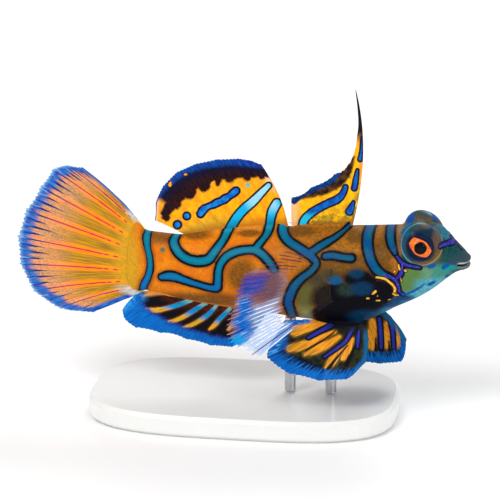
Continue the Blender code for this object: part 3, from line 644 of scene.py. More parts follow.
PURPLE_LINES = (
    ((22.2, -1.5, 0.16), (23.4, -1.95, 0.22), (24.2, -2.6, 0.24), (24.55, -3.5, 0.24), (24.75, -4.3, 0.2),
     (25.3, -4.75, 0.2)),
    ((24.3, 1.35, 0.18), (24.8, 0.7, 0.24), (25.5, 0.1, 0.26), (26.4, -0.15, 0.22), (27.4, -0.35, 0.2),
     (28.1, -0.5, 0.12)),
    ((25.15, 0.2, 0.16), (25.1, -0.7, 0.22), (25, -1.3, 0.32), (24.6, -1.9, 0.3), (24.1, -2.2, 0.16)),
    ((31.2, 2.95, 0.22), (31.8, 3.3, 0.28), (32.5, 3.5, 0.32), (33.25, 3.8, 0.42), (33.5, 4, 0.34)),
    ((33.4, 4.1, 0.3), (33, 4.7, 0.2), (32.7, 5.3, 0.14)),
    ((33.5, 4, 0.2), (34, 3.2, 0.12), (34.6, 2.5, 0.08)),
)
BLUE_SPOTS = (
    ((25.3, -4.75, 0.26), (26.5, -4.4, 0.26), (27.8, -3.7, 0.22), (28.7, -3.1, 0.12)),
    ((29.6, -3.05, 0.42), (30.1, -2.85, 0.42)),
    ((29.6, -0.25, 0.4), (30.2, -0.1, 0.42)),
    ((31.8, -0.35, 0.4), (32.5, 0.05, 0.34)),
    ((32.3, -1.7, 0.42), (32.9, -1.85, 0.38)),
    ((29.5, 6.5, 0.5), (30.2, 5.9, 0.5)),
    ((29.1, 7.6, 0.36), (29.7, 7.2, 0.42)),
)
GOLD_MARKS = (
    ((21, -1.95, 0.15), (21.7, -2.02, 0.17), (22.5, -2.25, 0.18), (23.1, -2.7, 0.18), (23.7, -3.25, 0.18),
     (24, -3.8, 0.2), (23.87, -4.25, 0.16)),
    ((23.6, -4.5, 0.13), (24.1, -4.75, 0.14), (24.6, -4.88, 0.1)),
    ((20.4, -4.65, 0.14), (20.9, -4.15, 0.22)),
    ((19.55, -5.35, 0.17), (19.8, -5.35, 0.17)),
    ((21, -5.6, 0.13), (21.6, -5.6, 0.13)),
    ((21.2, -4.9, 0.12),),
    ((22.9, -5.45, 0.11), (23.3, -5.4, 0.1)),
    ((24.5, 0.1, 0.12), (24.75, -0.75, 0.15)),
    ((23.9, -1.1, 0.15), (24, -0.9, 0.12)),
    ((25.6, -0.9, 0.2), (25.8, -1, 0.14)),
    ((24.9, -2.1, 0.08), (25.05, -2.6, 0.12)),
)


def carried_to_skin(route, tree, side):
    """A stroke's close points laid on one flank of the skin, with their half widths."""
    laid, eye = [], Vector(CAMERA_PLACE)
    for u, w, half in stroke(route):
        hit = tree.ray_cast(eye, (Vector(u * DRAW_RIGHT + w * DRAW_UP) - eye).normalized())[0]
        if hit is None or hit.y > sway(hit.x) + half:
            continue
        x, y, z = hit
        laid.append((x, 2 * float(sway(x)) - y if side > 0 else y, z, half))
    return laid


def distance_to(points, laid):
    """How far each point lies from the edge of the nearest stroke: negative inside it."""
    finder = KDTree(len(laid))
    for k, place in enumerate(laid):
        finder.insert(place[:3], k)
    finder.balance()
    found = [finder.find(point) for point in points]
    return np.array([far - laid[nearest][3] for _, nearest, far in found])


skin_tree = BVHTree.FromPolygons([tuple(p) for p in skin_points], skin_faces)
skin_marks = {}
DRAWN = (("stripe", STRIPES), ("purple", PURPLE_LINES), ("blue", BLUE_SPOTS), ("gold", GOLD_MARKS))
for name, routes in DRAWN:
    laid = [p for route in routes for side in (-1, 1) for p in carried_to_skin(route, skin_tree, side)]
    skin_marks[name] = distance_to(skin_points, laid)
    print(name, "points laid:", len(laid))

# %% [markdown]
# ## Broad patches
# Under the stripes the ground colour changes slowly: orange at the tail, olive-brown on the shoulders,
# green-blue on the cheeks and a black patch behind the gill cover. Such fields have no edge to draw, so
# each is a few soft ellipses on the side drawing. The strongest of them at each point of the skin is stored
# there as one number from 0 to 1.

# %% Soft fields on the skin
# Ellipses: centre u, w, radii, and how soft the edge is as a share of the radius
FIELDS = {
    "dark": ((15.2, -5.5, 4.7, 2.9, 0.4), (18.6, -5.4, 4.2, 2.8, 0.4), (18.6, -2.4, 3.4, 1.6, 0.7),
        (21.9, -4.3, 1.95, 2.1, 0.3), (13.7, -7.7, 3.2, 1.8, 0.4), (16.4, -8.8, 5, 1.6, 0.5)),
    "dusk": ((18.7, -3.8, 1.8, 1.1, 0.7), (17.8, -1.4, 1.2, 0.8, 0.8), (19.6, -8.2, 3, 1, 0.9)),
    "blob": ((14.4, -2.5, 1.2, 0.65, 0.7),),
    "green_dot": ((-13.2, 2.45, 0.42, 0.42, 0.8),),
    "mound_brown": ((29, 6.2, 0.7, 0.4, 0.9), (30.8, 4.1, 0.8, 1.7, 0.9), (28.3, 0.35, 1.5, 0.4, 0.9)),
    "mound_green": ((26.2, 1.3, 1.2, 1.2, 0.9),),
    "mound_grey": ((25.7, 3.5, 0.6, 1.6, 0.9), (27, 6, 1, 0.5, 0.9)),
    "smoke": ((16.3, -4, 1.5, 1, 0.9), (10.6, -2, 1.3, 1.2, 0.9)),
    "olive_gap": ((11.9, -3.7, 1.5, 2.2, 0.9), (13.6, -1.6, 1.6, 0.9, 0.9)),
    "khaki": ((9.5, -5.2, 1.35, 3, 0.6), (9.9, -7.6, 1.1, 1.4, 0.6)),
    # Brown patches on the flanks, and along the back and belly edges painted shade where the fins join
    "brown_and_edge_shade": ((-7.9, 5, 2.4, 0.9, 0.9), (0.7, 5.1, 1.9, 0.6, 0.9), (-0.6, -1.6, 2.4, 2.6, 0.9),
        (-8, -5.6, 9, 1.2, 0.9), (8.6, 5.4, 2.8, 0.9, 0.9), (16.5, -0.2, 5, 1.9, 0.9),
        (13, -1.3, 3.4, 1.7, 0.8), (3.6, -3.4, 2.6, 2.6, 0.9), (21.8, 1.6, 1.6, 3.4, 0.9),
        (17.6, 4.6, 1.5, 1.2, 0.9), (-13.4, 4.5, 2, 1.2, 0.9), (22.4, -0.6, 1.3, 1.6, 0.9)),
    "strip": ((22.6, -6, 2.6, 0.8, 0.7), (25, -5.25, 2.2, 0.5, 0.8)),
    "pale_throat": ((31, -3.4, 3.6, 1.3, 0.8), (28.4, -5.1, 3.2, 1.1, 0.8), (23, -8, 4, 1.3, 0.8)),
    "cyan": ((22.6, -7.3, 3.2, 1, 0.8), (25.8, -6.2, 3, 0.9, 0.8)),
    "cheek": ((27.8, -2.3, 3.6, 2.3, 0.9), (31, -1.6, 2, 1.7, 0.9)),
    "leaf": ((25.4, -3, 1.9, 2.4, 0.9), (26.4, -1.4, 2, 1, 0.9)),
    "bright": ((33, -0.4, 1.2, 0.4, 0.9), (32.2, -0.7, 0.7, 0.4, 0.9)),
    "root": ((-19.4, 0, 2.4, 7.5, 0.9),),
    "behind_eye": ((24.4, 5, 0.8, 3.6, 0.9),),
    "brow": ((31.4, 5.4, 1.2, 1.2, 0.8), (32.3, 5, 0.7, 0.9, 0.8)),
}
# The shield round the near eye, as seen on the drawing: its middle and its radii
DISC_CENTRE = (28.28, 3.35)
DISC_RADII = (3.44, 3.5)
# The corner of the mouth along the fish and the height of the slit between the lips
SLIT_CORNER, SLIT_HEIGHT = 34.35, 2.38


def soft_field(u, w, ellipses):
    """The strongest of several soft ellipses at each drawn point."""
    field = np.zeros(len(u))
    for cu, cw, ru, rw, softness in ellipses:
        far = np.sqrt(((u - cu) / ru) ** 2 + ((w - cw) / rw) ** 2)
        field = np.maximum(field, 1 - ramp(far, 1 - softness / 2, 1 + softness / 2))
    return field


skin_x, skin_y, skin_z = skin_points.T
skin_u, skin_w = draw(skin_points)
for name, ellipses in FIELDS.items():
    skin_marks[name] = soft_field(skin_u, skin_w, ellipses)

# Slow changes: from the tail's orange to the trunk's olive, the face, the shield round the eye, the belly
skin_marks["forward"] = ramp(skin_u, -2.0, 13.0)
skin_marks["face"] = ramp(skin_u - 0.07 * skin_w, 24.4, 25.2)
skin_marks["disc"] = np.hypot(
    (skin_u - DISC_CENTRE[0]) / DISC_RADII[0], (skin_w - DISC_CENTRE[1]) / DISC_RADII[1]
)
skin_marks["below"] = ramp(-skin_z / (7.0 + 0.06 * skin_x), 0.82, 1.02)

# The flesh under the two dorsal fins takes the gold of the fins
crest_places = [(k[1][0], k[1][2]) for fin in ("dorsal_fin_rear", "dorsal_fin_front") for k in FINS[fin]]
crest_x, crest_z = np.array(sorted(crest_places)).T
within = ramp(skin_x, crest_x[0] - 0.4, crest_x[0]) * ramp(-skin_x, -crest_x[-1] - 0.4, -crest_x[-1])
skin_marks["crest"] = ramp(skin_z - np.interp(skin_x, crest_x, crest_z), -1.1, 0.3) * within

# The mouth: how far each point lies from the slit between the lips, and which lip it is on
from_slit = np.hypot(skin_z - SLIT_HEIGHT, np.maximum(0.0, SLIT_CORNER - skin_x))
skin_marks["mouth"] = np.minimum(from_slit, 3.0)
skin_marks["lips"] = np.where(skin_z > SLIT_HEIGHT, 0.42, -0.42)
print("fields:", sorted(skin_marks))

# %% [markdown]
# ## Lids
# A mandarinfish has no lids that close. A round fold of skin rims each eye, and the eye mound under it has a
# shield of its own colours. Both are found from the way the eye looks: each point near a mound gets its
# angle from that gaze, and the skin rises and sinks by it until the eyeball fits.

# %% The eyes' axes
# Radii of an eyeball across and along the gaze, and how far it stands out from the middle of its mound
EYE_RADIUS, EYE_DEPTH, EYE_SHIFT = 2.2, 1.95, 1.4
EYE_FORWARD, EYE_UP = math.radians(7.0), math.radians(5.0)


def gaze_axes(side):
    """Axes of an eye as columns: level, lift and the way it looks. side is -1 on the right."""
    out = side * math.cos(EYE_FORWARD) * math.cos(EYE_UP)
    look = np.array([math.sin(EYE_FORWARD), out, math.sin(EYE_UP)])
    look /= np.linalg.norm(look)
    level = np.cross((0.0, 0.0, 1.0), look)
    level /= np.linalg.norm(level)
    return np.column_stack([level, np.cross(look, level), look])


print("the right eye looks along", gaze_axes(-1)[:, 2].round(2))

# %% Rims round the eyes
# For each point near a mound: its angle from the gaze, its height over the mound, how far it must go to
# stand just outside the eyeball, and whether it lies on the mound's inner side, its rear or its blue edge
DISC_SHIFT = (0.3, 0.0, -0.3)
# How near, in the mound's own radii, a point has to be, and the radii's middle value in millimetres
MOUND_NEAR = 1.6
MOUND_SIZE = 3.3
unset = {
    "gaze": 180.0, "off_mound": 9.0, "inner_side": 0.0, "mound_rear": 0.0, "blue_edge": 0.0, "to_ball": 0.0
}
near_eyes = {name: np.full(len(skin_points), value) for name, value in unset.items()}
for side in (-1, 1):
    arm = skin_points - mound_centre(side)
    reach = np.linalg.norm(arm, axis=1)
    own = (arm - DISC_SHIFT) @ mound_axes(side) / MOUND_RADII
    far = np.linalg.norm(own, axis=1)
    look = arm @ gaze_axes(side) / reach[:, None]
    # Where a line from the middle of the mound leaves the eyeball
    spread = ((look / (EYE_RADIUS, EYE_RADIUS, EYE_DEPTH)) ** 2).sum(axis=1)
    ahead = look[:, 2] * EYE_SHIFT / EYE_DEPTH**2
    leave = (ahead + np.sqrt(ahead**2 - spread * ((EYE_SHIFT / EYE_DEPTH) ** 2 - 1))) / spread
    found = {
        "gaze": np.degrees(np.arccos(np.clip(look[:, 2], -1, 1))),
        "off_mound": (far - 1) * MOUND_SIZE,
        "inner_side": ramp(-own[:, 2], 0.05, 0.5),
        "mound_rear": ramp(-own[:, 0], 0.42, 0.7),
        "blue_edge": ramp(MOUND_CENTRE[0] - skin_x, 1.1, 2.0) * ramp(skin_z, 7.2, 7.9),
        "to_ball": leave - reach,
    }
    near = (far < MOUND_NEAR) & (skin_y * side > 0)
    for name, values in found.items():
        near_eyes[name][near] = values[near]
to_eyeball = near_eyes.pop("to_ball")
skin_marks.update(near_eyes)
gaze, off_mound = skin_marks["gaze"], skin_marks["off_mound"]
print("eye mound points:", int((off_mound < 0.2).sum()))


def normals_of(points, quads):
    a, b, c, d = (points[quads[:, k]] for k in range(4))
    face = np.cross(c - a, d - b)
    total = sum(gathered(quads[:, k], face, len(points)) for k in range(4))
    return total / np.linalg.norm(total, axis=1)[:, None]


# Half angle of the lid's opening in degrees, how far the lid stands over the ball and the skin sinks below it
LID_ANGLE, LID_HEIGHT, SUNK = 36.5, 0.11, 0.4
# The gaze of points far from both eyes is larger than this, in degrees
NO_EYE = 170.0
# How far each line of the relief rises or sinks, and how wide it is, in millimetres (the fold: in degrees)
FOLD_RISE, FOLD_WIDTH = 0.07, 3.5
GROOVE_DEPTH, GROOVE_WIDTH = 0.09, 0.3
ARC_RISE, ARC_WIDTH, ARC_REACH = 0.16, 0.35, (20.5, 24.2)
VIOLET_DEPTH, VIOLET_WIDTH = 0.05, 0.2
LIP_RISE, LIP_MIDDLE, LIP_WIDTH, LIP_REACH = 0.1, 0.46, 0.22, (33.9, 34.6)
SLIT_DEPTH, SLIT_EDGE = 0.12, (0.05, 0.22)

# The lid stands a little outside the eyeball all round the opening, and the skin inside it sinks below the
# ball. A shallow groove runs round the mound, the gold arc lies on a low ridge, and the lips swell above
# and below the slit of the mouth.
lid = ramp(gaze, LID_ANGLE - 1.0, LID_ANGLE + 2.5) * (1 - ramp(gaze, 46.0, 58.0))
relief = lid * np.maximum(to_eyeball + LID_HEIGHT, 0.0)
relief += FOLD_RISE * bell(gaze - LID_ANGLE - 5.0, FOLD_WIDTH) * (1 - ramp(off_mound, 0.3, 1.1))
inside = 1 - ramp(gaze, LID_ANGLE - 3.0, LID_ANGLE)
relief = relief * (1 - inside) + inside * np.minimum(to_eyeball - SUNK, 0.0)
relief -= GROOVE_DEPTH * bell(off_mound - GROOVE_WIDTH, GROOVE_WIDTH) * (gaze < NO_EYE)
on_arc = (skin_u < ARC_REACH[1]) * (skin_u > ARC_REACH[0])
relief += ARC_RISE * bell(skin_marks["gold"], ARC_WIDTH) * on_arc
relief -= VIOLET_DEPTH * bell(skin_marks["purple"], VIOLET_WIDTH)
relief += LIP_RISE * bell(skin_marks["mouth"] - LIP_MIDDLE, LIP_WIDTH) * ramp(skin_x, *LIP_REACH)
relief -= SLIT_DEPTH * (1 - ramp(skin_marks["mouth"], *SLIT_EDGE))
skin_points = skin_points + normals_of(skin_points, skin_quads) * relief[:, None]
print("relief from", round(float(relief.min()), 3), "to", round(float(relief.max()), 3), "mm")

# %% [markdown]
# ## The skin's paint
# The skin has no scales. It is thin, moist and smooth, so it gets a fine grain and a clear coat. From the
# bottom up the paint is laid as the animal wears it: slow ground colours, black edges, stripe cores, the
# eye mounds, then the violet lines, blue spots and gold marks of the head. The brown along the back and
# belly edges is partly painted shade where the fins join, and the dark slit of the mouth is painted shade.

# %% Paint of the skin
def skin_paint():
    paint = Paint("moist_skin")
    mark = paint.mark
    blots, grain, fine = paint.noise(0.35, 4.0), paint.noise(2.2), paint.noise(6.0)
    forward, height, ahead = mark("forward"), paint.height(), paint.ahead()
    fleck = fine.step(0.5, 0.8)

    orange = blots.tones((236, 134, 10), (220, 104, 12)).coats(
        (grain.step(0.42, 0.68) * 0.6, (182, 112, 20)), (fleck * 0.35, (255, 164, 52))
    )
    olive = grain.tones((178, 100, 22), (112, 86, 22), 0.35, 0.68).coats((fleck * 0.4, (214, 132, 40)))
    khaki = height.tones((70, 84, 40), (150, 158, 104), -3.6, -6.4)
    cheek = blots.tones((92, 140, 110), (52, 132, 118), 0.4, 0.62).coats(
        (fine.step(0.45, 0.75) * 0.4, (134, 170, 120)),
        (mark("leaf") * 0.95, grain.tones((96, 118, 44), (66, 118, 76), 0.35, 0.7)),
    )
    face = grain.tones((0, 78, 66), (10, 50, 70), 0.35, 0.7).coats(
        (blots.step(0.5, 0.65) * 0.5, (36, 72, 66)),
        (mark("mouth").step(2.9, 0.7) * grain.step(0.25, 0.6) * 0.8, (62, 64, 88)),
        (mark("cheek").at_least(mark("leaf")), cheek),
        (mark("bright") * 0.8, (6, 146, 140)),
        (mark("brow") * 0.85, grain.tones((14, 100, 128), (56, 118, 140))),
    )
    crest = mark("crest")
    ground = orange.coats(
        (forward, olive),
        (mark("root"), grain.tones((222, 156, 26), (188, 148, 36))),
        (crest * forward.step(0.9, 0.3) * 0.6, grain.tones((222, 146, 22), (180, 108, 22), 0.3, 0.7)),
        # Brown patches, partly painted shade along the back and belly edges where the fins join
        (mark("brown_and_edge_shade") * (0.5 + 0.6 * grain), (92, 64, 20)),
        (mark("olive_gap") * 0.85, grain.tones((58, 60, 34), (40, 52, 48))),
        (mark("khaki") * 0.9, khaki.coats((grain.step(0.4, 0.7) * 0.6, (104, 106, 56)))),
        (mark("behind_eye") * 0.85, grain.tones((150, 116, 80), (118, 92, 52), 0.4, 0.6)),
        (mark("face"), face),
        (mark("pale_throat"), grain.tones((52, 146, 174), (112, 172, 180), 0.4, 0.7)),
        (mark("below") * 0.8, paint.mix(forward, (206, 130, 54), (6, 74, 124))),
        (mark("cyan") * 0.9, grain.tones((0, 118, 170), (0, 84, 130), 0.4, 0.7)),
        (mark("strip") * 0.95, grain.tones((6, 40, 96), (0, 84, 112), 0.4, 0.7)),
        (mark("dark"), (2, 3, 12)),
        (mark("smoke") * 0.7, grain.tones((46, 66, 54), (28, 44, 48))),
        (mark("dusk") * 0.85, grain.tones((0, 38, 84), (0, 60, 84), 0.3, 0.7)),
        (mark("blob") * 0.95, (0, 78, 124)),
        (mark("green_dot") * 0.9, (26, 112, 84)),
    )

    # Stripes: a brown haze, a black edge, uneven and a little wider at the tail, and the core
    stripe = mark("stripe") + (grain - 0.5) * 0.14
    rough_edge = stripe + (blots - 0.5) * 0.5 + (grain - 0.5) * 0.12 + ahead.step(-13.0, -15.0) * 0.14
    core = height.tones((0, 122, 146), (0, 106, 180), 1.0, -4.0).coats(
        (forward * 0.85, blots.tones((0, 78, 108), (0, 52, 122), 0.42, 0.58)),
        (stripe.step(-0.5, -0.02) * 0.5, (0, 62, 114)),
        (fleck * 0.35, (16, 144, 166)),
        (crest * forward.step(0.8, 0.4) * 0.5, (0, 150, 184)),
    )
    ground = ground.coats(
        (stripe.step(1.0, 0.3) * (0.25 + blots * 0.55), (92, 52, 14)),
        (rough_edge.step(0.5, 0.32), (4, 9, 16)),
        (stripe.step(0.05, -0.06), core),
    )

    # The eye mounds: their own ground, the dark ring at the lid and the pale rim of the shield
    mound, gaze, inner_side = mark("off_mound"), mark("gaze"), mark("inner_side")
    upward = height.step(5.4, 8.2)
    blue_edge = mark("blue_edge") + (grain - 0.5) * 0.4
    ball_skin = paint.mix(upward, (46, 46, 40), (0, 44, 66)).coats(
        (grain.step(0.45, 0.7) * 0.6, (20, 30, 50)),
        (height.step(5.6, 4.2) * ahead.step(28.4, 26.8), (4, 46, 42)),
        (mark("mound_grey") * 0.8, (52, 58, 72)),
        (mark("mound_green") * 0.8, (10, 50, 46)),
        (mark("mound_brown") * (0.2 + grain * 0.9).at_most(0.8), (112, 84, 58)),
        (inner_side, grain.tones((98, 84, 58), (66, 70, 56), 0.35, 0.7)),
        (mark("mound_rear") * inner_side.at_least(0.5), paint.mix(inner_side, (2, 80, 112), (4, 72, 168))),
        (height.step(8.4, 9.1) * (0.5 + grain * 0.6).at_most(0.9), (64, 68, 62)),
        (blue_edge.step(0.3, 0.7), inner_side.tones((6, 84, 122), (6, 74, 160), 0.0, 0.3)),
    )
    high = inner_side.at_least(blue_edge) * height.step(7.2, 7.9)
    golden = (gaze - 62.0).absolute().step(17.0, 5.0) * height.step(6.4, 4.4) * ahead.step(27.0, 28.6)
    disc = mark("disc") + (grain - 0.5) * 0.02
    outer_side = inner_side.step(0.4, 0.05) * gaze.step(106.0, 92.0)
    band = (disc - 0.93).absolute().step(0.07, 0.03) * ahead.step(27.6, 25.6) * outer_side
    rim = (disc - 0.975).absolute().step(0.035, 0.012) * outer_side

    violet, blue = (mark(name) + (grain - 0.5) * 0.12 for name in ("purple", "blue"))
    mouth = mark("mouth") + (fine - 0.5) * 0.06
    gold = mark("gold") + (grain - 0.5) * 0.06
    lip = (mouth - 0.34).absolute().step(0.2, 0.05) * ahead.step(34.0, 34.7)
    ground = ground.coats(
        (mound.step(0.3, 0.1).at_least(high * mound.step(1.1, 0.7)), ball_skin),
        (golden * grain.step(0.2, 0.55) * mound.step(0.3, 0.05) * 0.85, (126, 90, 36)),
        (gaze.step(50.0, 41.0) * mound.step(0.8, 0.4) * 0.9, (14, 10, 50)),
        (band * 0.8, (4, 84, 122)),
        (rim * 0.85, paint.mix(upward, (120, 146, 128), (74, 138, 172))),
        ((violet + (blots - 0.5) * 0.2).step(0.36, 0.18) * mark("stripe").step(-0.1, 0.1), (6, 4, 28)),
        (violet.step(0.03, -0.07), grain.tones((44, 36, 140), (64, 72, 172), 0.4, 0.7)),
        (blue.step(0.14, -0.16), (0, 78, 150)),
        (lip * 0.85, mark("lips").tones((112, 124, 118), (186, 198, 196), -0.2, 0.2)),
        # The slit between the lips: painted shade of the mouth's opening
        (mouth.step(0.2, 0.12), (20, 16, 20)),
        (gold.step(0.2, 0.06) * mark("dark").at_least(0.6), (12, 8, 18)),
        (gold.step(0.03, -0.06), grain.tones((250, 188, 66), (222, 150, 50), 0.4, 0.7)),
    )
    wet = mound.step(0.8, 0.4)
    return paint.finish(
        Base_Color=ground, Roughness=0.5 - wet * 0.12 + grain * 0.1,
        Normal=paint.bump(fine * 0.4 + grain * 0.6, 0.07, 0.6),
        Coat_Weight=0.03 + wet * 0.08, Coat_Roughness=0.15, Specular_IOR_Level=0.06,
    )


skin = new_piece("skin", skin_points, skin_faces, skin_marks, skin_paint())
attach(skin, "root")
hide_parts("head", "trunk", "tail_stock")
print("skin painted,", len(skin_faces), "faces")

# %% [markdown]
# ## Eyes
# A mandarinfish looks out of two low domes. The ball itself is a smooth glassy piece of its own, set into
# the skin and turned a little forward and up. Its pupil is round, but the orange iris is a slanting oval, so
# the paint is laid in the ball's own frame: how far level and how far up from the middle of the gaze.

# %% The eyeballs
EYE_SEGMENTS, EYE_RINGS = 72, 48
# How far the cornea bulges and how wide, and the pupil's radius, in millimetres
CORNEA, CORNEA_WIDTH, PUPIL = 0.16, 1.4, 0.96
# The iris: its half length and half width in millimetres, its slant, and how full its corners are, where 2
# would be an ellipse and 1 a diamond
IRIS_LONG, IRIS_SHORT = 2.32, 1.24
IRIS_SLANT, IRIS_CORNERS = math.radians(-38.0), 1.5


def eye_paint():
    paint = Paint("glassy_eye")
    grain = paint.noise(3.0)
    level, up = paint.marks("level", "lift")
    along, across = math.cos(IRIS_SLANT), math.sin(IRIS_SLANT)
    pupil = (level * level + up * up) ** 0.5 + (grain - 0.5) * 0.04
    long_way = (level * along + up * across).absolute() / IRIS_LONG
    short_way = (up * along - level * across).absolute() / IRIS_SHORT
    iris = long_way**IRIS_CORNERS + short_way**IRIS_CORNERS + (grain - 0.5) * 0.16
    colour = iris.tones((16, 10, 52), (12, 36, 56), 1.05, 1.7).coats(
        (iris.step(1.08, 0.94), grain.tones((232, 92, 26), (250, 136, 50))),
        (pupil.step(PUPIL + 0.09, PUPIL), (52, 12, 10)),
        (pupil.step(PUPIL + 0.02, PUPIL - 0.07), (2, 2, 4)),
        (pupil.step(0.62, 0.3), (2, 14, 24)),
    )
    return paint.finish(
        Base_Color=colour, Roughness=0.2 + grain * 0.06, Normal=paint.bump(grain, 0.01, 0.2),
        Coat_Weight=0.6, Coat_IOR=1.22, Coat_Roughness=0.02, Specular_IOR_Level=0.04,
    )


glassy = eye_paint()
for side, name in ((-1, "right"), (1, "left")):
    axes = gaze_axes(side)
    radii = (EYE_RADIUS, EYE_RADIUS, EYE_DEPTH)
    shape, faces = ball((0, 0, 0), radii, np.eye(3), EYE_SEGMENTS, EYE_RINGS)
    shape[:, 2] += CORNEA * bell(np.hypot(shape[:, 0], shape[:, 1]), CORNEA_WIDTH) * (shape[:, 2] > 0)
    marks = {"level": -side * shape[:, 0], "lift": shape[:, 1]}
    placed = shape @ axes.T + mound_centre(side) + EYE_SHIFT * axes[:, 2]
    eyeball = new_piece("eyeball_" + name, placed, faces, marks, glassy)
    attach(eyeball, "root")
    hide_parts("eye_" + name)
    print(eyeball.name, "set, with", len(faces), "faces")

# %% [markdown]
# ## Fins
# A fin is a thin membrane stretched between fine rays, like cloth on the ribs of a fan. The membrane is one
# closed sheet on a fine grid. It bellies a little between the rays, and its margin is scalloped. Each
# grid point keeps its place: how far out, how far across, and how far from the next ray. All the paint of
# the fins is made from these and from strokes drawn on the side view, as on the body.

# %% How each fin is made
# Places of the rays across the fin (or their number, when they stand evenly), how far the margin dips
# between them as a share of the ray, belly and ripple of the membrane and radius of a ray at its foot in
# millimetres, where along the ray it forks, and the share of its radius that it loses to the margin
CAUDAL_RAYS = (0, 0.07, 0.16, 0.285, 0.42, 0.56, 0.7, 0.83, 0.93, 1)
FORM = {
    fin: dict(zip(("rays", "dip", "belly", "ripple", "ray", "forks", "fade"), numbers))
    for fin, *numbers in (
        ("dorsal_fin_front", (0, 0.34, 0.67, 1), 0.05, 0.16, 0.15, 0.2, (), 0.72),
        ("dorsal_fin_rear", 8, 0.012, 0.14, 0.25, 0.15, (0.72,), 0.72),
        ("anal_fin", 7, 0.045, 0.16, 0.25, 0.17, (0.7,), 0.72),
        ("caudal_fin", CAUDAL_RAYS, 0.015, 0.1, 0.3, 0.13, (0.4, 0.7), 0.4),
        ("pectoral_fin_right", 26, 0.03, 0.03, 0.2, 0.11, (), 0.25),
        ("pelvic_fin_right", (0, 0.2, 0.4, 0.6, 0.8, 1), 0.03, 0.22, 0.3, 0.2, (0.4, 0.7), 0.72),
    )
}
for form in FORM.values():
    if isinstance(form["rays"], int):
        form["rays"] = tuple(np.linspace(0, 1, form["rays"]))
for fin in ("pectoral_fin", "pelvic_fin"):
    FORM[fin + "_left"] = FORM[fin + "_right"]
# How much shorter the first ray stands than its drawing, so that the corner is round
ROUND_CORNER = {"dorsal_fin_rear": 0.05, "pelvic_fin_left": 0.05}
# Two waves make the margin ragged: their size, their number to the gap and where they start
RAGGED = ((0.006, 37.0, 0.0), (0.005, 61.0, 1.0))


def share_of_gap(fin, t):
    """Which gap between rays t lies in and how far through it, as one number."""
    rays = FORM[fin]["rays"]
    return np.interp(t, rays, np.arange(len(rays)))


def fin_place(fin, t, v):
    """The membrane's middle at t, v, with its belly between the rays and the slow ripple of the whole fin."""
    through = share_of_gap(fin, t) % 1.0
    belly = FORM[fin]["belly"] * np.sin(math.pi * through) * ramp(v, 0.04, 0.5)
    ripple = FORM[fin]["ripple"] * np.sin(2 * math.pi * (1.4 * np.asarray(t) + 0.1)) * np.clip(v, 0, 1) ** 2
    return on_fin(fin, t, v) + across_fin(fin, t, v) * (belly + ripple)[..., None]


def margin(fin, t):
    """How far out the membrane reaches at t: full at the rays, less between them, a little ragged."""
    place = share_of_gap(fin, t)
    through = place % 1.0
    ragged = sum(size * np.sin(place * waves + start) for size, waves, start in RAGGED)
    corner = ROUND_CORNER.get(fin, 0.0) * (1 - ramp(t, 0.0, 0.07))
    return 1.0 - FORM[fin]["dip"] * np.sin(math.pi * through) ** 0.8 + ragged * (through > 0) - corner


print("rays:", {fin: len(form["rays"]) for fin, form in FORM.items()})

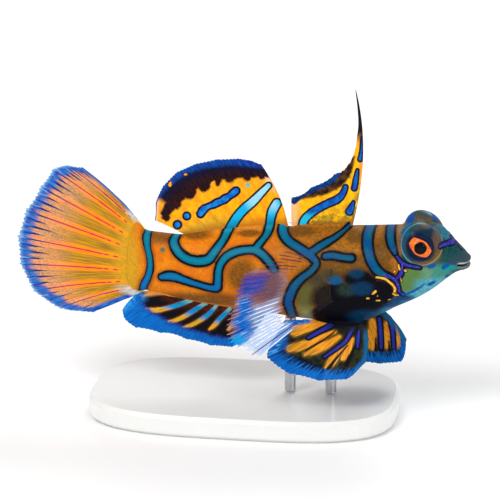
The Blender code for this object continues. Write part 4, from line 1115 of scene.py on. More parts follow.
# %% Strokes drawn on the fins
# u, w and half width in millimetres on the side drawing, by fin and mark
FIN_STROKES = {
    "dorsal_fin_rear": {
        "stripe": (
            ((-4.9, 2.4, 0.6), (-3.5, 3.9, 0.58), (-2.4, 5.8, 0.6), (-1.3, 7.6, 0.62), (-0.2, 8.9, 0.6),
             (1.25, 10.15, 0.58), (2.65, 11.6, 0.46), (3.8, 12.75, 0.34)),
            ((2.5, 3.2, 0.45), (3.3, 4.5, 0.48), (3.95, 5.9, 0.52), (4.1, 7.3, 0.55), (4.4, 8.6, 0.62),
             (5.1, 9.9, 0.6)),
        ),
        "dash": (
            ((-7.1, 8.2, 0.42), (-6.6, 8.9, 0.46), (-5.8, 9.4, 0.3), (-5.2, 9.6, 0.36), (-4.4, 10, 0.44),
             (-3.8, 10.25, 0.4), (-3.2, 10.6, 0.48), (-2.5, 11.05, 0.34), (-1.9, 11.5, 0.44),
             (-1.4, 11.9, 0.42)),
            ((-9.3, 7.85, 0.42),), ((-10.8, 6.46, 0.46),),
        ),
        "band": (
            ((3.5, 14.7, 0.4), (1.4, 14.6, 0.6), (-1.8, 14.6, 0.8), (-4.9, 14.2, 0.85), (-7.3, 13.4, 1),
             (-9.4, 12.2, 1.1), (-11.2, 10.4, 1), (-12.5, 8.6, 0.75), (-12.8, 7.7, 0.5)),
            ((2.7, 14.3, 0.62),), ((0.3, 14.1, 0.72),), ((-2.4, 13.9, 0.8),),
            ((-4.3, 13.6, 0.7), (-4.35, 13, 0.4)),
            ((-6.5, 13, 1.15), (-6.6, 12.7, 1)),
            ((-8.9, 11.9, 1.25), (-9, 11.6, 1.15)),
            ((-11.2, 10.2, 1.15), (-11.3, 9.9, 1.1)),
            ((-12.75, 8.3, 0.8), (-12.7, 7.7, 0.75)),
        ),
        "spot": (
            ((-11.9, 13.2, 0.16), (-12, 12.8, 0.28)),
            ((-9.6, 14.5, 0.16), (-9.3, 14.5, 0.12)),
        ),
        "dot": (((0.45, 12.8, 0.3),),),
    },
    "dorsal_fin_front": {
        "stripe": (
            ((9.2, 6.1, 0.5), (9.4, 7, 0.52), (10.3, 8.1, 0.5), (11.9, 9.15, 0.46), (13.5, 9.95, 0.46),
             (14.9, 10.6, 0.46), (15.7, 11.5, 0.34), (16.1, 12.5, 0.26)),
            ((16.75, 8.6, 0.46), (17.05, 9.2, 0.36), (17.35, 10, 0.14)),
            ((17.5, 12.3, 0.3), (17.7, 13.4, 0.28), (18, 15.2, 0.1)),
            ((18.4, 16.9, 0.22), (18.6, 17.9, 0.14), (18.75, 20.5, 0.03)),
        ),
        "band": (
            ((9.3, 10.9, 0.35), (11.1, 11.45, 0.55), (13.1, 12.2, 0.75), (15, 13.5, 0.95),
             (16.2, 14.8, 0.8), (16.9, 16, 0.4), (17.4, 17.3, 0.15)),
            ((17.75, 21, 0.3), (17.8, 23.5, 0.5), (17.5, 28, 0.5)),
        ),
        "edge": (((7.9, 10.3, 0.55), (9.2, 11.5, 0.6), (10.8, 12.2, 0.52), (12.6, 12.95, 0.5),
            (14.1, 14, 0.62), (15, 14.8, 0.3)),),
    },
    "anal_fin": {
        "bar": (
            ((-8.6, -5.6, 0.4), (-10.7, -6.35, 0.42), (-12.3, -6.85, 0.4), (-14.2, -7.2, 0.45),
             (-16.2, -7.1, 0.3)),
            ((-6.2, -6, 0.36), (-8, -7.15, 0.42), (-10, -8.35, 0.4), (-11.5, -8.95, 0.34),
             (-13.1, -9.2, 0.2)),
            ((-4.4, -6.3, 0.32), (-5.7, -7.75, 0.4), (-7.05, -8.75, 0.42), (-8.4, -9.5, 0.36),
             (-10, -10, 0.2)),
            ((-2.1, -6.6, 0.3), (-3.2, -7.8, 0.4), (-4.15, -8.75, 0.42), (-4.95, -9.7, 0.42),
             (-5.7, -10.3, 0.24)),
            ((0.2, -7, 0.26), (-0.7, -8.2, 0.36), (-1.8, -9.3, 0.38), (-2.6, -10.3, 0.3)),
            ((-12.2, -4.7, 0.14), (-14, -4.5, 0.22), (-15.8, -4.8, 0.26), (-16.6, -5.2, 0.12)),
        ),
    },
    "pelvic_fin_right": {
        "warm": (
            ((14.2, -8.6, 0.35), (11.5, -9.3, 0.75), (9.4, -9.95, 0.9), (8, -10.6, 0.8)),
            ((14.4, -10.7, 0.2), (12.5, -11.5, 0.45), (10.3, -12.4, 0.55), (8.5, -13.1, 0.65),
             (7.1, -13.4, 0.5)),
            ((15.1, -11.5, 0.25), (13.5, -12.5, 0.52), (11.4, -13.6, 0.58), (9.6, -14.3, 0.3)),
            ((15.6, -13, 0.4), (14.7, -14.4, 0.65), (13.7, -15.7, 0.6), (13.1, -16.4, 0.35)),
            ((17.2, -11.9, 0.25), (16.5, -13.4, 0.5), (15.7, -14.9, 0.4)),
        ),
        "streak": (
            ((14, -9.6, 0.32), (12.5, -10.35, 0.28), (11.2, -11.05, 0.26), (10.1, -11.7, 0.2)),
            ((17.2, -10.3, 0.24), (16.1, -12.2, 0.22), (14.6, -13.4, 0.2), (12.7, -14.7, 0.16)),
            ((18.2, -10.6, 0.2), (18.1, -12, 0.24), (18, -13.2, 0.16)),
        ),
        "ribs": (
            ((14.6, -10.5, 0.12), (12.7, -11.9, 0.14), (10.8, -13, 0.12), (9.6, -13.8, 0.1)),
            ((16.4, -12.9, 0.1), (14.4, -15.2, 0.2), (13.2, -16.8, 0.3)),
            ((17.6, -12.8, 0.1), (16.9, -14.6, 0.3), (16.2, -16, 0.4)),
        ),
        "shadow": (
            ((4.2, -16, 0.25), (7, -15, 0.55), (9.6, -15.6, 0.5), (12.4, -16.8, 0.3)),
            ((19.5, -7.6, 0.8), (17.2, -8.4, 1.4), (15.2, -8.8, 0.9)),
            ((18, -9.4, 0.9), (17.6, -10.8, 0.4)),
        ),
    },
    "pelvic_fin_left": {
        "warm": (
            ((20.4, -9, 0.5), (20.4, -11.1, 0.66), (20.3, -13.1, 0.5)),
            ((22.5, -9.4, 0.3), (22.7, -11.1, 0.5), (22.75, -13, 0.4)),
            ((24.1, -9.6, 0.15), (24.5, -11.4, 0.32), (24.7, -13.2, 0.34)),
            ((17.6, -10.5, 0.5), (17.2, -13, 0.6)),
            ((14.8, -11, 0.5), (13.8, -13.2, 0.5)),
        ),
        "streak": (
            ((21.5, -8.6, 0.24), (21.7, -10.7, 0.28), (21.8, -13.2, 0.24)),
            ((23.1, -8.5, 0.18), (23.6, -10.4, 0.24), (23.8, -13.2, 0.2)),
            ((18.9, -9.5, 0.24), (18.8, -13.2, 0.24)),
        ),
        "ribs": (
            ((20.9, -11.6, 0.08), (20.9, -13.6, 0.2)),
            ((23, -12, 0.08), (23.1, -13.6, 0.2)),
        ),
        "shadow": (((19.8, -7.4, 0.5), (23, -7.6, 0.4)),),
    },
}


def drawn_distance(u, w, routes):
    """How far drawn points lie from the edge of the nearest stroke on the drawing."""
    drawn = np.concatenate([stroke(route) for route in routes])
    return distance_to(np.stack([u, w, 0 * u], axis=-1), [(a, b, 0.0, half) for a, b, half in drawn])


def fin_marks(fin, t, v, points):
    """What the fins' paint reads at each point: place on the fin, and the strokes drawn on it."""
    rays = FORM[fin]["rays"]
    place = share_of_gap(fin, t)
    gap = np.floor(np.minimum(place, len(rays) - 1.001))
    before, after = (np.interp(gap + step, range(len(rays)), rays) for step in (0, 1))
    spacing = np.linalg.norm(on_fin(fin, after, v) - on_fin(fin, before, v), axis=-1)
    marks = {"along": v, "across": t, "phase": 0.5 - np.abs(place % 1.0 - 0.5), "spacing": spacing}
    u, w = seen(points)
    for mark, routes in FIN_STROKES.get(fin, {}).items():
        marks[mark] = drawn_distance(u, w, routes)
    return marks


print("strokes:", {fin: sum(len(r) for r in marks.values()) for fin, marks in FIN_STROKES.items()})

# %% A membrane
# Thickness of a membrane, the most that half of it may measure, and the size of its grid, in millimetres
MEMBRANE, THICKEST_HALF = 0.13, 0.09
COLUMN_WIDTH, ROW_HEIGHT = 0.16, 0.19


def membrane(fin):
    """One fin's membrane as points and faces, with its marks."""
    rays = FORM[fin]["rays"]
    tips = on_fin(fin, np.array(rays), np.full(len(rays), 0.8))
    per_gap = [max(4, math.ceil(g / COLUMN_WIDTH)) for g in np.linalg.norm(np.diff(tips, axis=0), axis=1)]
    gaps = [np.linspace(a, b, n, endpoint=False) for a, b, n in zip(rays, rays[1:], per_gap)]
    columns = np.concatenate(gaps + [[1.0]])
    steps = np.diff(on_fin(fin, columns[None, :], np.linspace(0, 1, 9)[:, None]), axis=0)
    rows = math.ceil(np.linalg.norm(steps, axis=-1).sum(axis=0).max() / ROW_HEIGHT)
    t, s = np.meshgrid(columns, np.linspace(0, 1, rows + 1), indexing="ij")
    v = FIN_START + (margin(fin, columns)[:, None] - FIN_START) * s
    middle = fin_place(fin, t, v)
    half = np.minimum(MEMBRANE / 2 * (1.25 - 0.75 * s), THICKEST_HALF)
    half = half * (0.25 + 0.75 * ramp(1 - s, 0.0, 0.02))
    marks = fin_marks(fin, t.ravel(), v.ravel(), middle.reshape(-1, 3))
    points, faces = sheet_between(middle, across_fin(fin, t, v), half[..., None])
    return points, faces, {name: np.tile(values, 2) for name, values in marks.items()}


print("the front dorsal membrane has", len(membrane("dorsal_fin_front")[1]), "faces")

# %% [markdown]
# ## Rays from a node tree
# The rays all follow one rule: a tapering tube along a path, forked towards the margin. Geometry Nodes make
# such tubes well. The paths are plain edges with a radius stored at each point, and the tree sweeps a small
# circle along them. The tubes keep the marks of the membrane, so that every stripe runs across its rays.

# %% The tree that turns paths into rays
def ray_tree():
    tree = bpy.data.node_groups.new("rays_along_paths", "GeometryNodeTree")
    inputs = {"Paths": "Geometry", "Sides": "Int", "Thickness": "Float", "Finish": "Material"}
    for name, kind in inputs.items():
        tree.interface.new_socket(name, in_out="INPUT", socket_type="NodeSocket" + kind)
    tree.interface.new_socket("Rays", in_out="OUTPUT", socket_type="NodeSocketGeometry")

    def node(kind, values, **settings):
        """Adds a node: its settings first, then its inputs. Returns its first output."""
        made = tree.nodes.new(kind)
        for name, setting in settings.items():
            setattr(made, name, setting)
        for name, value in values.items():
            if isinstance(value, bpy.types.NodeSocket):
                tree.links.new(value, made.inputs[name])
            else:
                made.inputs[name].default_value = value
        return made.outputs[0] if made.outputs else None

    given = tree.nodes.new("NodeGroupInput").outputs
    curves = node("GeometryNodeMeshToCurve", {"Mesh": given["Paths"]})
    radius = node("GeometryNodeInputNamedAttribute", {"Name": "radius"}, data_type="FLOAT")
    scale = node("ShaderNodeMath", {0: radius, 1: given["Thickness"]}, operation="MULTIPLY")
    circle = node("GeometryNodeCurvePrimitiveCircle", {"Resolution": given["Sides"], "Radius": 1.0})
    sweep = {"Curve": curves, "Profile Curve": circle, "Scale": scale, "Fill Caps": True}
    tubes = node("GeometryNodeSetShadeSmooth", {"Geometry": node("GeometryNodeCurveToMesh", sweep)})
    real = node("GeometryNodeRealizeInstances", {"Geometry": tubes})
    painted = node("GeometryNodeSetMaterial", {"Geometry": real, "Material": given["Finish"]})
    node("NodeGroupOutput", {0: painted})
    return tree


RAY_TREE = ray_tree()
print("ray tree:", len(RAY_TREE.nodes), "nodes")

# %% Ray paths and their tubes
# Length of a path's steps as a share of the ray, and the sides of a tube
RAY_STEP, RAY_SIDES = 0.035, 8
# Thickness of a branch as a share of its stem's, and how far it stands off it as a share of the gap
FORK_THINNER = 0.8
FORK_SPREAD = (0.24, 0.13)


def ray_paths(fin):
    """Paths of one fin's rays, each an array of t, v and radius in millimetres."""
    form = FORM[fin]
    rays, forks = form["rays"], form["forks"]
    paths = []

    def grow(t, v, level, drift, gap):
        last = level >= len(forks)
        end = 1.0 if last else forks[level]
        count = max(3, int((end - v) / RAY_STEP))
        run = np.linspace(v, end, count)
        ts = np.clip(t + drift * (run - v), 0.0, 1.0)
        if last:
            run = np.linspace(v, float(margin(fin, ts[-1])), count)
        taper = form["ray"] * (1 - form["fade"] * np.clip(run, 0, 1) ** 0.8) * FORK_THINNER**level
        paths.append(np.stack([ts, run, taper], axis=1))
        for side in () if last else (-1, 1):
            if 0.0 < ts[-1] + side * 1e-3 < 1.0:
                grow(ts[-1], end - 0.01, level + 1, side * (FORK_SPREAD[level] * gap) / (1 - end), gap)

    for k, t in enumerate(rays):
        gap = min(abs(rays[n] - t) for n in (k - 1, k + 1) if 0 <= n < len(rays))
        grow(t, FIN_START * 0.6, 0, 0.0, gap)
    return paths


def ray_tubes(fin, name, finish):
    """All rays of a fin as one mesh object, made by the tree."""
    paths = ray_paths(fin)
    t, v, radius = np.concatenate(paths).T
    points = fin_place(fin, t, v)
    edges, start = [], 0
    for path in paths:
        edges += [(k, k + 1) for k in range(start, start + len(path) - 1)]
        start += len(path)
    mesh = bpy.data.meshes.new(name)
    mesh.from_pydata(lift(points).tolist(), edges, [])
    set_marks(mesh, {**fin_marks(fin, t, v, points), "radius": radius * MM})
    source = new_object(name + "_paths", mesh)
    modifier = source.modifiers.new("rays", "NODES")
    modifier.node_group = RAY_TREE
    sockets = {s.name: s.identifier for s in RAY_TREE.interface.items_tree if s.in_out == "INPUT"}
    for socket, value in (("Sides", RAY_SIDES), ("Thickness", 1.0), ("Finish", finish)):
        modifier[sockets[socket]] = value
    made = bpy.data.meshes.new_from_object(source.evaluated_get(bpy.context.evaluated_depsgraph_get()))
    made.name = name
    source.modifiers.remove(modifier)
    bpy.data.objects.remove(source)
    return new_object(name, made)


print("the front dorsal fin has", len(ray_paths("dorsal_fin_front")), "ray paths")

# %% [markdown]
# ## Paint of the fins
# The dorsal fins are gold and orange with the same blue strokes as the body, and a black band under a blue
# margin. The tail is a fan of orange and olive with wine-red lines and a blue fringe. The lower fins are
# black, orange and blue. The paddle-like fins at the sides are almost clear, with white and violet rays.
# Light shines through all of them, so each colour also gets a little painted glow that stands in for it.

# %% A fin's finish
# Fibres across the whole fin
FIBRES = 150.0


def fin_finish(paint, colour, painted_glow, alpha=1.0):
    """Sets a fin's colour, its painted glow for the light shining through, and the fine fibres along the
    rays.
    """
    return paint.finish(
        # The emission is painted light: a glow that stands in for the light shining through the fin
        Base_Color=colour, Emission_Color=colour, Emission_Strength=painted_glow, Alpha=alpha, Roughness=0.5,
        Normal=paint.bump(paint.threads(FIBRES, 3.0), 0.06, 0.6),
        Coat_Weight=0.03, Coat_Roughness=0.2, Specular_IOR_Level=0.07,
    )


print("a fin's skin shows", FIBRES, "fibres across it")

# %% The rear and front dorsal fins
def rear_dorsal_paint():
    paint = Paint("rear_dorsal_gold")
    along, across = paint.marks("along", "across")
    grain, fine = paint.noise(1.1), paint.threads(110.0, 7.0)
    pale = across.step(0.3, 0.2) * along.step(0.14, 0.34)
    cyan = along.tones((0, 128, 160), (14, 172, 222), 0.03, 0.2).coats(
        (fine.step(0.45, 0.65) * along.step(0.3, 0.6) * 0.6, (120, 204, 238)),
        (pale * across.step(0.0, 0.06) * 0.7, (170, 220, 232)),
    )
    blue = grain.tones((0, 90, 186), (24, 138, 218))
    foot = fine.tones((206, 176, 40), (178, 134, 40), 0.4, 0.6)
    colour = grain.tones((255, 184, 4), (250, 146, 16), 0.3, 0.7).coats(
        (along.step(0.3, 0.8) * 0.5, (255, 158, 30)),
        (fine.step(0.45, 0.7) * 0.35, (226, 130, 10)),
        (along.step(0.34, 0.14) * across.step(0.35, 0.6) * 0.8, foot),
        # Brown at the root: painted shade where the fin meets the back
        (along.step(0.2, 0.02) * 0.85, (168, 100, 24)),
        (across.step(0.07, 0.0) * along.step(0.45, 0.7) * 0.8, (252, 206, 176)),
        (paint.mark("phase").step(0.07, 0.02) * 0.35, (200, 120, 30)),
    )
    colour = colour.inlay(paint.rough_mark("dot", 0.1), (60, 184, 216), (200, 150, 60), 0.1)
    colour = colour.inlay(paint.rough_mark("stripe", 0.16), cyan, (12, 20, 26), 0.3)
    colour = colour.inlay(paint.rough_mark("dash", 0.2), blue, (10, 8, 40), 0.32)
    reach = along + (fine - 0.5) * 0.05 + (grain - 0.5) * 0.03
    band = (paint.mark("band") + (fine - 0.5) * 0.5 + (grain - 0.5) * 0.6).step(0.26, -0.2)
    night = fine.tones((6, 3, 12), (58, 18, 14), 0.35, 0.7).coats((reach.step(0.72, 0.9), (8, 10, 44)))
    edge = reach + across.step(0.5, 0.0) * 0.03 - across.step(0.55, 0.85) * 0.03
    rim = fine.tones((2, 44, 120), (6, 80, 168), 0.3, 0.7)
    rim = rim.coats((across.step(0.3, 0.0) * grain.step(0.4, 0.6), (26, 26, 130)))
    colour = colour.coats(
        (band.at_least(reach.step(0.71, 0.76) * across.step(0.84, 0.78)), night),
        (edge.step(0.87, 0.95) * across.step(0.86, 0.8), rim),
        (across.step(0.8, 0.86) * along.step(0.9, 0.94) * 0.8, (238, 186, 140)),
        (across.step(0.78, 0.84) * along.step(0.955, 0.975), (70, 62, 150)),
    )
    colour = colour.inlay(paint.rough_mark("spot", 0.1), (254, 160, 40), (50, 26, 34), 0.12)
    return fin_finish(paint, colour, 0.1)


def front_dorsal_paint():
    paint = Paint("front_dorsal_gold")
    along, across = paint.marks("along", "across")
    grain, fine, height = paint.noise(1.2), paint.threads(60.0, 6.0), paint.height()
    band = paint.mark("band") + (paint.noise(1.6, 4.0) - 0.5) * 0.7
    blue = grain.tones((4, 66, 166), (4, 104, 188)).coats((height.step(9.6, 8.4), (36, 180, 214)))
    colour = grain.tones((255, 196, 2), (250, 160, 14), 0.3, 0.7).coats(
        (fine.step(0.45, 0.7) * 0.3, (224, 140, 10)),
        (along.step(0.42, 0.14) * grain.step(0.35, 0.6), (150, 128, 34)),
        # Brown at the root: painted shade where the fin meets the back
        (along.step(0.14, 0.0) * 0.85, (134, 84, 28)),
        (across.step(0.1, 0.0) * along.step(0.2, 0.5), (250, 146, 40)),
        (across.step(0.8, 1.0) * 0.8, (252, 190, 140)),
        (band.step(0.3, -0.2), grain.tones((24, 12, 16), (92, 58, 18), 0.35, 0.7)),
        (height.step(20.0, 23.0), (22, 12, 28)),
    )
    colour = colour.inlay(paint.rough_mark("stripe", 0.14), blue, (12, 10, 40), 0.28)
    edge = paint.rough_mark("edge", 0.3, 1.5).step(0.15, -0.1)
    return fin_finish(paint, colour.coats((edge, grain.tones((2, 34, 96), (2, 70, 138), 0.35, 0.7))), 0.1)


rear_gold, front_gold = rear_dorsal_paint(), front_dorsal_paint()
print("dorsal paints:", len(rear_gold.node_tree.nodes), "and", len(front_gold.node_tree.nodes), "nodes")

# %% The tail fin
# The wine-red lines break into dashes near the root: the turns of a wave along the ray, in radians
DASH_WAVES = 84.0


def tail_paint():
    paint = Paint("tail_fan")
    along, across, phase, spacing = paint.marks("along", "across", "phase", "spacing")
    grain, fine, broad = paint.noise(2.2), paint.threads(130.0, 5.0), paint.threads(46.0, 3.0)
    specks = paint.noise(3.2) * 0.6 + fine * 0.4
    blush = specks.tones((240, 156, 112), (156, 134, 104), 0.42, 0.58)
    blush = blush.coats((broad.step(0.5, 0.65) * 0.6, (240, 136, 40)))
    wine = (phase * spacing).step(0.14, 0.08) * along.step(0.19, 0.22)
    dashes = (along * DASH_WAVES).sine().step(-0.1, 0.3).at_least(along.step(0.32, 0.36))
    outer_rays = across.step(0.86, 0.9).at_least(across.step(0.1, 0.06))
    line = paint.mix(outer_rays, (184, 26, 70), (46, 30, 120)).coats((along.step(0.72, 0.9), (40, 26, 110)))
    reach = along + (paint.noise(1.0) - 0.5) * 0.05

    def streak(centre, start, strength):
        away = (phase - centre).absolute() * spacing
        return ((reach - start) * strength - away).step(-0.04, 0.06)

    streaks = streak(0.0, 0.78, 1.3).at_least(streak(0.25, 0.79, 1.9)).at_least(streak(0.5, 0.7, 1.1))
    hairs = broad.step(0.56, 0.66) * along.step(0.86, 0.95) * 0.55
    blue = fine.tones((10, 52, 146), (34, 112, 194)).coats((hairs, (150, 190, 222)))
    fringe = reach + (fine - 0.5) * 0.12 + across.step(0.74, 0.88) * 0.05
    side = across.step(0.97, 0.985).at_least(across.step(0.03, 0.012) * 0.9) * along.step(0.12, 0.3)
    corner = across.step(0.84, 0.96).at_least(across.step(0.1, 0.03)) * along.step(0.36, 0.24)
    corner = corner * along.step(0.06, 0.18)
    olive = fine.tones((206, 144, 20), (140, 106, 34), 0.35, 0.62)
    colour = fine.tones((255, 154, 8), (248, 118, 24), 0.3, 0.7).coats(
        ((phase + (broad - 0.5) * 0.16).step(0.13, 0.3), olive),
        (along.step(0.34, 0.14), grain.tones((222, 156, 26), (188, 148, 36))),
        ((along + (fine - 0.5) * 0.24).step(0.5, 0.84) * 0.78, blush),
        (wine * dashes * 0.95, line),
        (streaks, (12, 26, 104)),
        (fringe.step(0.87, 0.94) * 0.95, blue),
        ((along + (fine - 0.5) * 0.06).step(0.955, 0.995) * 0.75, (132, 184, 222)),
        (side, blue),
        (corner * 0.7, fine.tones((238, 222, 206), (120, 176, 204), 0.4, 0.6)),
    )
    return fin_finish(paint, colour, 0.1)


fan = tail_paint()
print("tail paint:", len(fan.node_tree.nodes), "nodes")

# %% The anal and pelvic fins
def anal_paint():
    paint = Paint("anal_bars")
    along, across = paint.marks("along", "across")
    grain, fine = paint.noise(1.3), paint.threads(90.0, 5.0)
    bar = paint.rough_mark("bar", 0.2) + 0.04
    along_bar = along + (grain - 0.5) * 0.1
    bright = along_bar.tones((4, 142, 204), fine.tones((240, 166, 30), (176, 150, 44)), 0.36, 0.5)
    bright = bright.coats((along_bar.step(0.2, 0.08), (124, 202, 204)))
    edge = along + (fine - 0.5) * 0.14 + (grain - 0.5) * 0.1 + across.step(0.5, 1.0) * 0.16
    blue = fine.tones((0, 78, 168), (0, 108, 190), 0.3, 0.65)
    rear = across.step(0.93, 0.99) * along.step(0.42, 0.56)
    night = paint.mix(along.step(0.4, 0.05) * grain.step(0.3, 0.6), (5, 4, 10), (96, 34, 10))
    colour = night.coats(
        (bar.step(0.34, 0.06), (84, 36, 12)),
        (bar.step(0.05, -0.07), bright),
        (edge.step(0.68, 0.78), blue.coats((edge.step(0.86, 0.72) * 0.7, (24, 34, 130)))),
        (across.step(0.955, 0.985) * along.step(0.5, 0.36), (236, 160, 58)),
        (rear, grain.tones((0, 92, 180), (40, 140, 210), 0.4, 0.6)),
    )
    return fin_finish(paint, colour, 0.08)


def pelvic_paint(name):
    paint = Paint(name)
    along, across = paint.marks("along", "across")
    grain, fine = paint.noise(1.2), paint.threads(80.0, 4.0)
    warm = paint.mark("warm") + (fine - 0.5) * 0.6
    shadow = paint.mark("shadow") + (fine - 0.5) * 0.8
    patch = fine.tones((240, 164, 34), (204, 116, 22))
    patch = patch.coats((along.step(0.35, 0.75) * fine.step(0.4, 0.62) * 0.8, (140, 116, 40)))
    colour = grain.tones((6, 16, 20), (40, 42, 20)).coats(
        (warm.step(0.5, 0.1), (92, 70, 20)),
        (warm.step(0.16, -0.12), patch),
        (paint.rough_mark("ribs", 0.1).step(0.12, -0.08), (10, 6, 12)),
        (shadow.step(0.2, -0.25), (2, 6, 18)),
    )
    violet = grain.tones((50, 40, 150), (14, 52, 150))
    colour = colour.inlay(paint.rough_mark("streak", 0.12), violet, (6, 5, 24), 0.28)
    edge = along + (fine - 0.5) * 0.12 + (grain - 0.5) * 0.06 + 0.1 * across.step(0.12, 0.0)
    blue = fine.tones((0, 68, 152), (2, 108, 190), 0.3, 0.7)
    rear = across + (fine - 0.5) * 0.08
    top_edge = rear.step(0.94, 0.98) * along.step(0.1, 0.3)
    pale_blue = (fine + (grain - 0.5) * 0.4).tones((0, 84, 172), (84, 174, 228), 0.5, 0.66)
    colour = colour.coats(
        (edge.step(0.74, 0.82), fine.tones((4, 20, 66), blue, 0.45, 0.6)),
        (edge.step(0.8, 0.9), blue),
        ((rear.step(0.76, 0.86) * along.step(0.66, 0.78)).at_least(top_edge), pale_blue),
        (across.step(0.09, 0.03) * along.step(0.1, 0.3) * 0.9, (4, 88, 130)),
        (along.step(0.2, 0.06) * across.step(0.9, 0.7) * 0.8, (6, 10, 16)),
    )
    return fin_finish(paint, colour, 0.08)


bars, right_flag, left_flag = anal_paint(), pelvic_paint("right_pelvic"), pelvic_paint("left_pelvic")
print("lower fin paints:", len(bars.node_tree.nodes), "and", len(left_flag.node_tree.nodes), "nodes")

# %% The pectoral fins
def pectoral_fields(paint):
    """The fan's zones, each with streaky edges: white rays, film, blotch, fringe, lilac tips and toe."""
    along, across = paint.marks("along", "across")
    broad = paint.threads(26.0, 3.0)
    place = across + (broad - 0.5) * 0.1
    reach = along + (broad - 0.5) * 0.2
    return {
        "white": place.step(0.44, 0.54) * reach.step(0.52, 0.62),
        "film": place.step(0.18, 0.28) * place.step(0.56, 0.48) * reach.step(0.5, 0.64),
        "blotch": place.step(0.21, 0.29) * place.step(0.46, 0.38) * reach.step(0.66, 0.8),
        "fringe": place.step(0.38, 0.45) * place.step(0.84, 0.78) * reach.step(0.75, 0.85),
        "tips": place.step(0.4, 0.46) * place.step(0.75, 0.7) * reach.step(0.9, 0.96),
        "toe": across.step(0.7, 0.74) * across.step(0.86, 0.82) * along.step(0.87, 0.92),
        "upper": place.step(0.26, 0.18) * reach.step(0.44, 0.56) * along.step(0.9, 0.8),
    }


def pectoral_colour(paint, zones, fine, ground):
    violet = paint.mark("across").tones((100, 52, 142), (0, 70, 168), 0.25, 0.31)
    blue = fine.tones((0, 64, 164), (10, 106, 196), 0.35, 0.5)
    return paint.mix(zones["film"], ground, (116, 84, 108)).coats(
        (zones["upper"], (92, 40, 84)),
        (zones["blotch"], violet.coats((fine.step(0.5, 0.6) * 0.8, (106, 66, 150)))),
        (zones["fringe"], blue.coats((fine.step(0.56, 0.62) * 0.8, (160, 190, 234)))),
        (zones["tips"], fine.tones((92, 66, 128), (190, 150, 136), 0.42, 0.56)),
        (zones["toe"], (26, 150, 216)),
    )


def strongest(zones, covers):
    """The thickest of several zones' covers."""
    first, *others = (zones[name] * cover for name, cover in covers.items())
    for other in others:
        first = first.at_least(other)
    return first


def pectoral_membrane_paint():
    paint = Paint("clear_membrane")
    zones, fine = pectoral_fields(paint), paint.threads(90.0, 4.0)
    streaky = fine.step(0.3, 0.56)
    streaks = {"film": 0.14 + streaky * 0.26, "blotch": 0.35 + streaky * 0.5, "fringe": 0.5 + streaky * 0.4}
    covers = {"white": 0.42, **streaks}
    fade = 1.0 - paint.mark("along").step(0.9, 1.0) * 0.75
    alpha = (strongest(zones, covers) * fade).at_least(zones["toe"] * 0.9)
    return fin_finish(paint, pectoral_colour(paint, zones, fine, (150, 180, 228)), 0.08, alpha.at_most(0.92))


def pectoral_ray_paint():
    paint = Paint("clear_rays")
    zones, fine = pectoral_fields(paint), paint.threads(90.0, 4.0)
    white = paint.noise(1.2).tones((240, 244, 252), (206, 220, 248))
    colour = pectoral_colour(paint, zones, fine, paint.mix(zones["white"], (132, 104, 66), white))
    colour = colour.coats(((paint.mark("across") - 0.96).absolute().step(0.015, 0.008), (30, 66, 140)))
    zones["upper"] = zones["upper"] * fine.step(0.35, 0.6)
    alpha = strongest(zones, {"white": 0.95, "film": 0.45, "upper": 0.8, "blotch": 0.8, "fringe": 0.85})
    alpha = alpha * (1.0 - paint.mark("along").step(0.88, 1.0) * 0.6)
    return fin_finish(paint, colour, 0.1, alpha.at_least(0.04))


clear, clear_rays = pectoral_membrane_paint(), pectoral_ray_paint()
print("pectoral paints:", len(clear.node_tree.nodes), "and", len(clear_rays.node_tree.nodes), "nodes")

# %% Membranes and rays put together
FIN_FINISHES = (
    ("dorsal_fin_rear", rear_gold, rear_gold, "dorsal_membrane"),
    ("dorsal_fin_front", front_gold, front_gold, "dorsal_membrane"),
    ("caudal_fin", fan, fan, "tail_membrane"),
    ("anal_fin", bars, bars, "lower_fin_membrane"),
    ("pelvic_fin_right", right_flag, right_flag, "lower_fin_membrane"),
    ("pelvic_fin_left", left_flag, left_flag, "lower_fin_membrane"),
    ("pectoral_fin_right", clear, clear_rays, "pectoral_membrane"),
    ("pectoral_fin_left", clear, clear_rays, "pectoral_membrane"),
)
for fin, cloth, rib, slot in FIN_FINISHES:
    points, faces, marks = membrane(fin)
    sheet = new_piece(fin + "_membrane", points, faces, marks, cloth)
    ribs = ray_tubes(fin, fin + "_rays", rib)
    for piece in (sheet, ribs):
        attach(piece, "root")
        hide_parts(fin)
    print(fin, "membrane", len(faces), "faces, rays", len(ribs.data.polygons), "faces")

# %% [markdown]
# ## The stand
# The stand stays in the background: a small block with rounded corners in off-white lacquer, and two bright
# steel rods. Its solids from the frame have the right shape, so they only need their finish. Sprayed
# lacquer has a faint orange-peel texture, and turned rod has fine rings round it.

# %% Lacquer and steel
# The wave of the turned rings along a rod, in radians to the millimetre
RINGS = 42.0


def lacquer():
    paint = Paint("white_lacquer")
    cloud = paint.noise(0.05)
    # Darker towards the bottom: the lowest 1.2 mm of the base
    low = (paint.height() + AXIS_HEIGHT).step(1.2, 0.0)
    return paint.finish(
        Base_Color=paint.mix(cloud, (240, 240, 237), (231, 232, 231)).coats((low * 0.5, (206, 205, 200))),
        Roughness=0.28 + cloud * 0.12, Normal=paint.bump(paint.noise(1.4, 2.0), 0.03, 0.3),
        Coat_Weight=0.4, Coat_Roughness=0.08,
    )


def steel():
    paint = Paint("turned_steel")
    rings = (paint.height() * RINGS).sine() * 0.5 + paint.noise(3.0)
    cloud = paint.noise(0.5)
    return paint.finish(
        Base_Color=cloud.tones((208, 211, 214), (186, 190, 196), 0.3, 0.7), Metallic=1.0,
        Roughness=0.2 + cloud * 0.16, Normal=paint.bump(rings, 0.01, 0.25),
    )


stand_finishes = {"stand_base": lacquer(), "stand_rod_front": steel(), "stand_rod_rear": steel()}
for node, finish in stand_finishes.items():
    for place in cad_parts[node].material_slots:
        place.material = finish
print("stand finished:", sorted(stand_finishes))

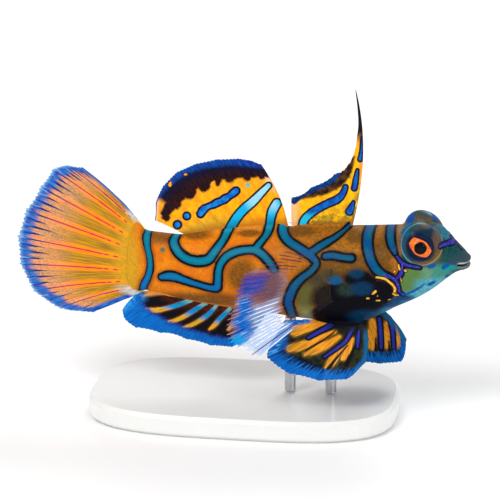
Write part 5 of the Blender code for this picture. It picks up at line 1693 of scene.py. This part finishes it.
# %% [markdown]
# ## The photographer's table
# The fish is looked at as in the photo: from its right side, a little from the front and from above, and
# from so far away that near and far parts keep their sizes. A long lens does that. The floor is a plain
# matt white sheet. Three large soft lights, one from the front, one to fill the shadows and one behind,
# and a pale surrounding keep every colour even.

# %% The camera
# Width of the picture at the fish, and of the sensor, in millimetres
FRAME_WIDTH, SENSOR_WIDTH = 80.0, 36.0
camera_data = bpy.data.cameras.new("camera")
camera_data.sensor_width = SENSOR_WIDTH
camera_data.lens = SENSOR_WIDTH * CAMERA_DISTANCE / FRAME_WIDTH
camera = new_object("camera", camera_data)
camera.location = lift(CAMERA_PLACE)
camera.rotation_euler = Vector(DRAW_BACK).to_track_quat("Z", "Y").to_euler()
bpy.context.scene.camera = camera
print("lens:", round(camera_data.lens), "mm")

# %% The floor
# From the middle to an edge, in metres
FLOOR_REACH = 4.0
floor_mesh = bpy.data.meshes.new("floor")
corners = [(x * FLOOR_REACH, y * FLOOR_REACH, 0.0) for x, y in ((-1, -1), (1, -1), (1, 1), (-1, 1))]
floor_mesh.from_pydata(corners, [], [(0, 1, 2, 3)])
floor_mesh.materials.append(Paint("studio_floor").finish(Base_Color=(250, 250, 250), Roughness=0.9))
floor = new_object("floor", floor_mesh)
print("floor:", 2 * FLOOR_REACH, "m wide")

# %% The lights
# Each light's name, place and width in metres, and power in watts
LIGHTS = (
    ("key", (-0.25, -0.45, 0.6), 0.35, 3.0),
    ("fill", (0.5, -0.4, 0.3), 0.4, 1.2),
    ("rim", (0.1, 0.5, 0.45), 0.3, 1.5),
)
WORLD_STRENGTH = 0.55
for name, place, width, power in LIGHTS:
    lamp = bpy.data.lights.new(name, "AREA")
    lamp.size = width
    lamp.energy = power
    light = new_object(name, lamp)
    light.location = place
    aim = Vector(place) - Vector((0.0, 0.0, AXIS_HEIGHT * MM))
    light.rotation_euler = aim.to_track_quat("Z", "Y").to_euler()
world = bpy.data.worlds.new("studio")
bpy.context.scene.world = world
world.use_nodes = True
background = world.node_tree.nodes["Background"]
background.inputs[0].default_value = (1.0, 1.0, 1.0, 1.0)
background.inputs[1].default_value = WORLD_STRENGTH
bpy.context.scene.view_settings.view_transform = "Standard"
print("lights:", [name for name, *_ in LIGHTS])
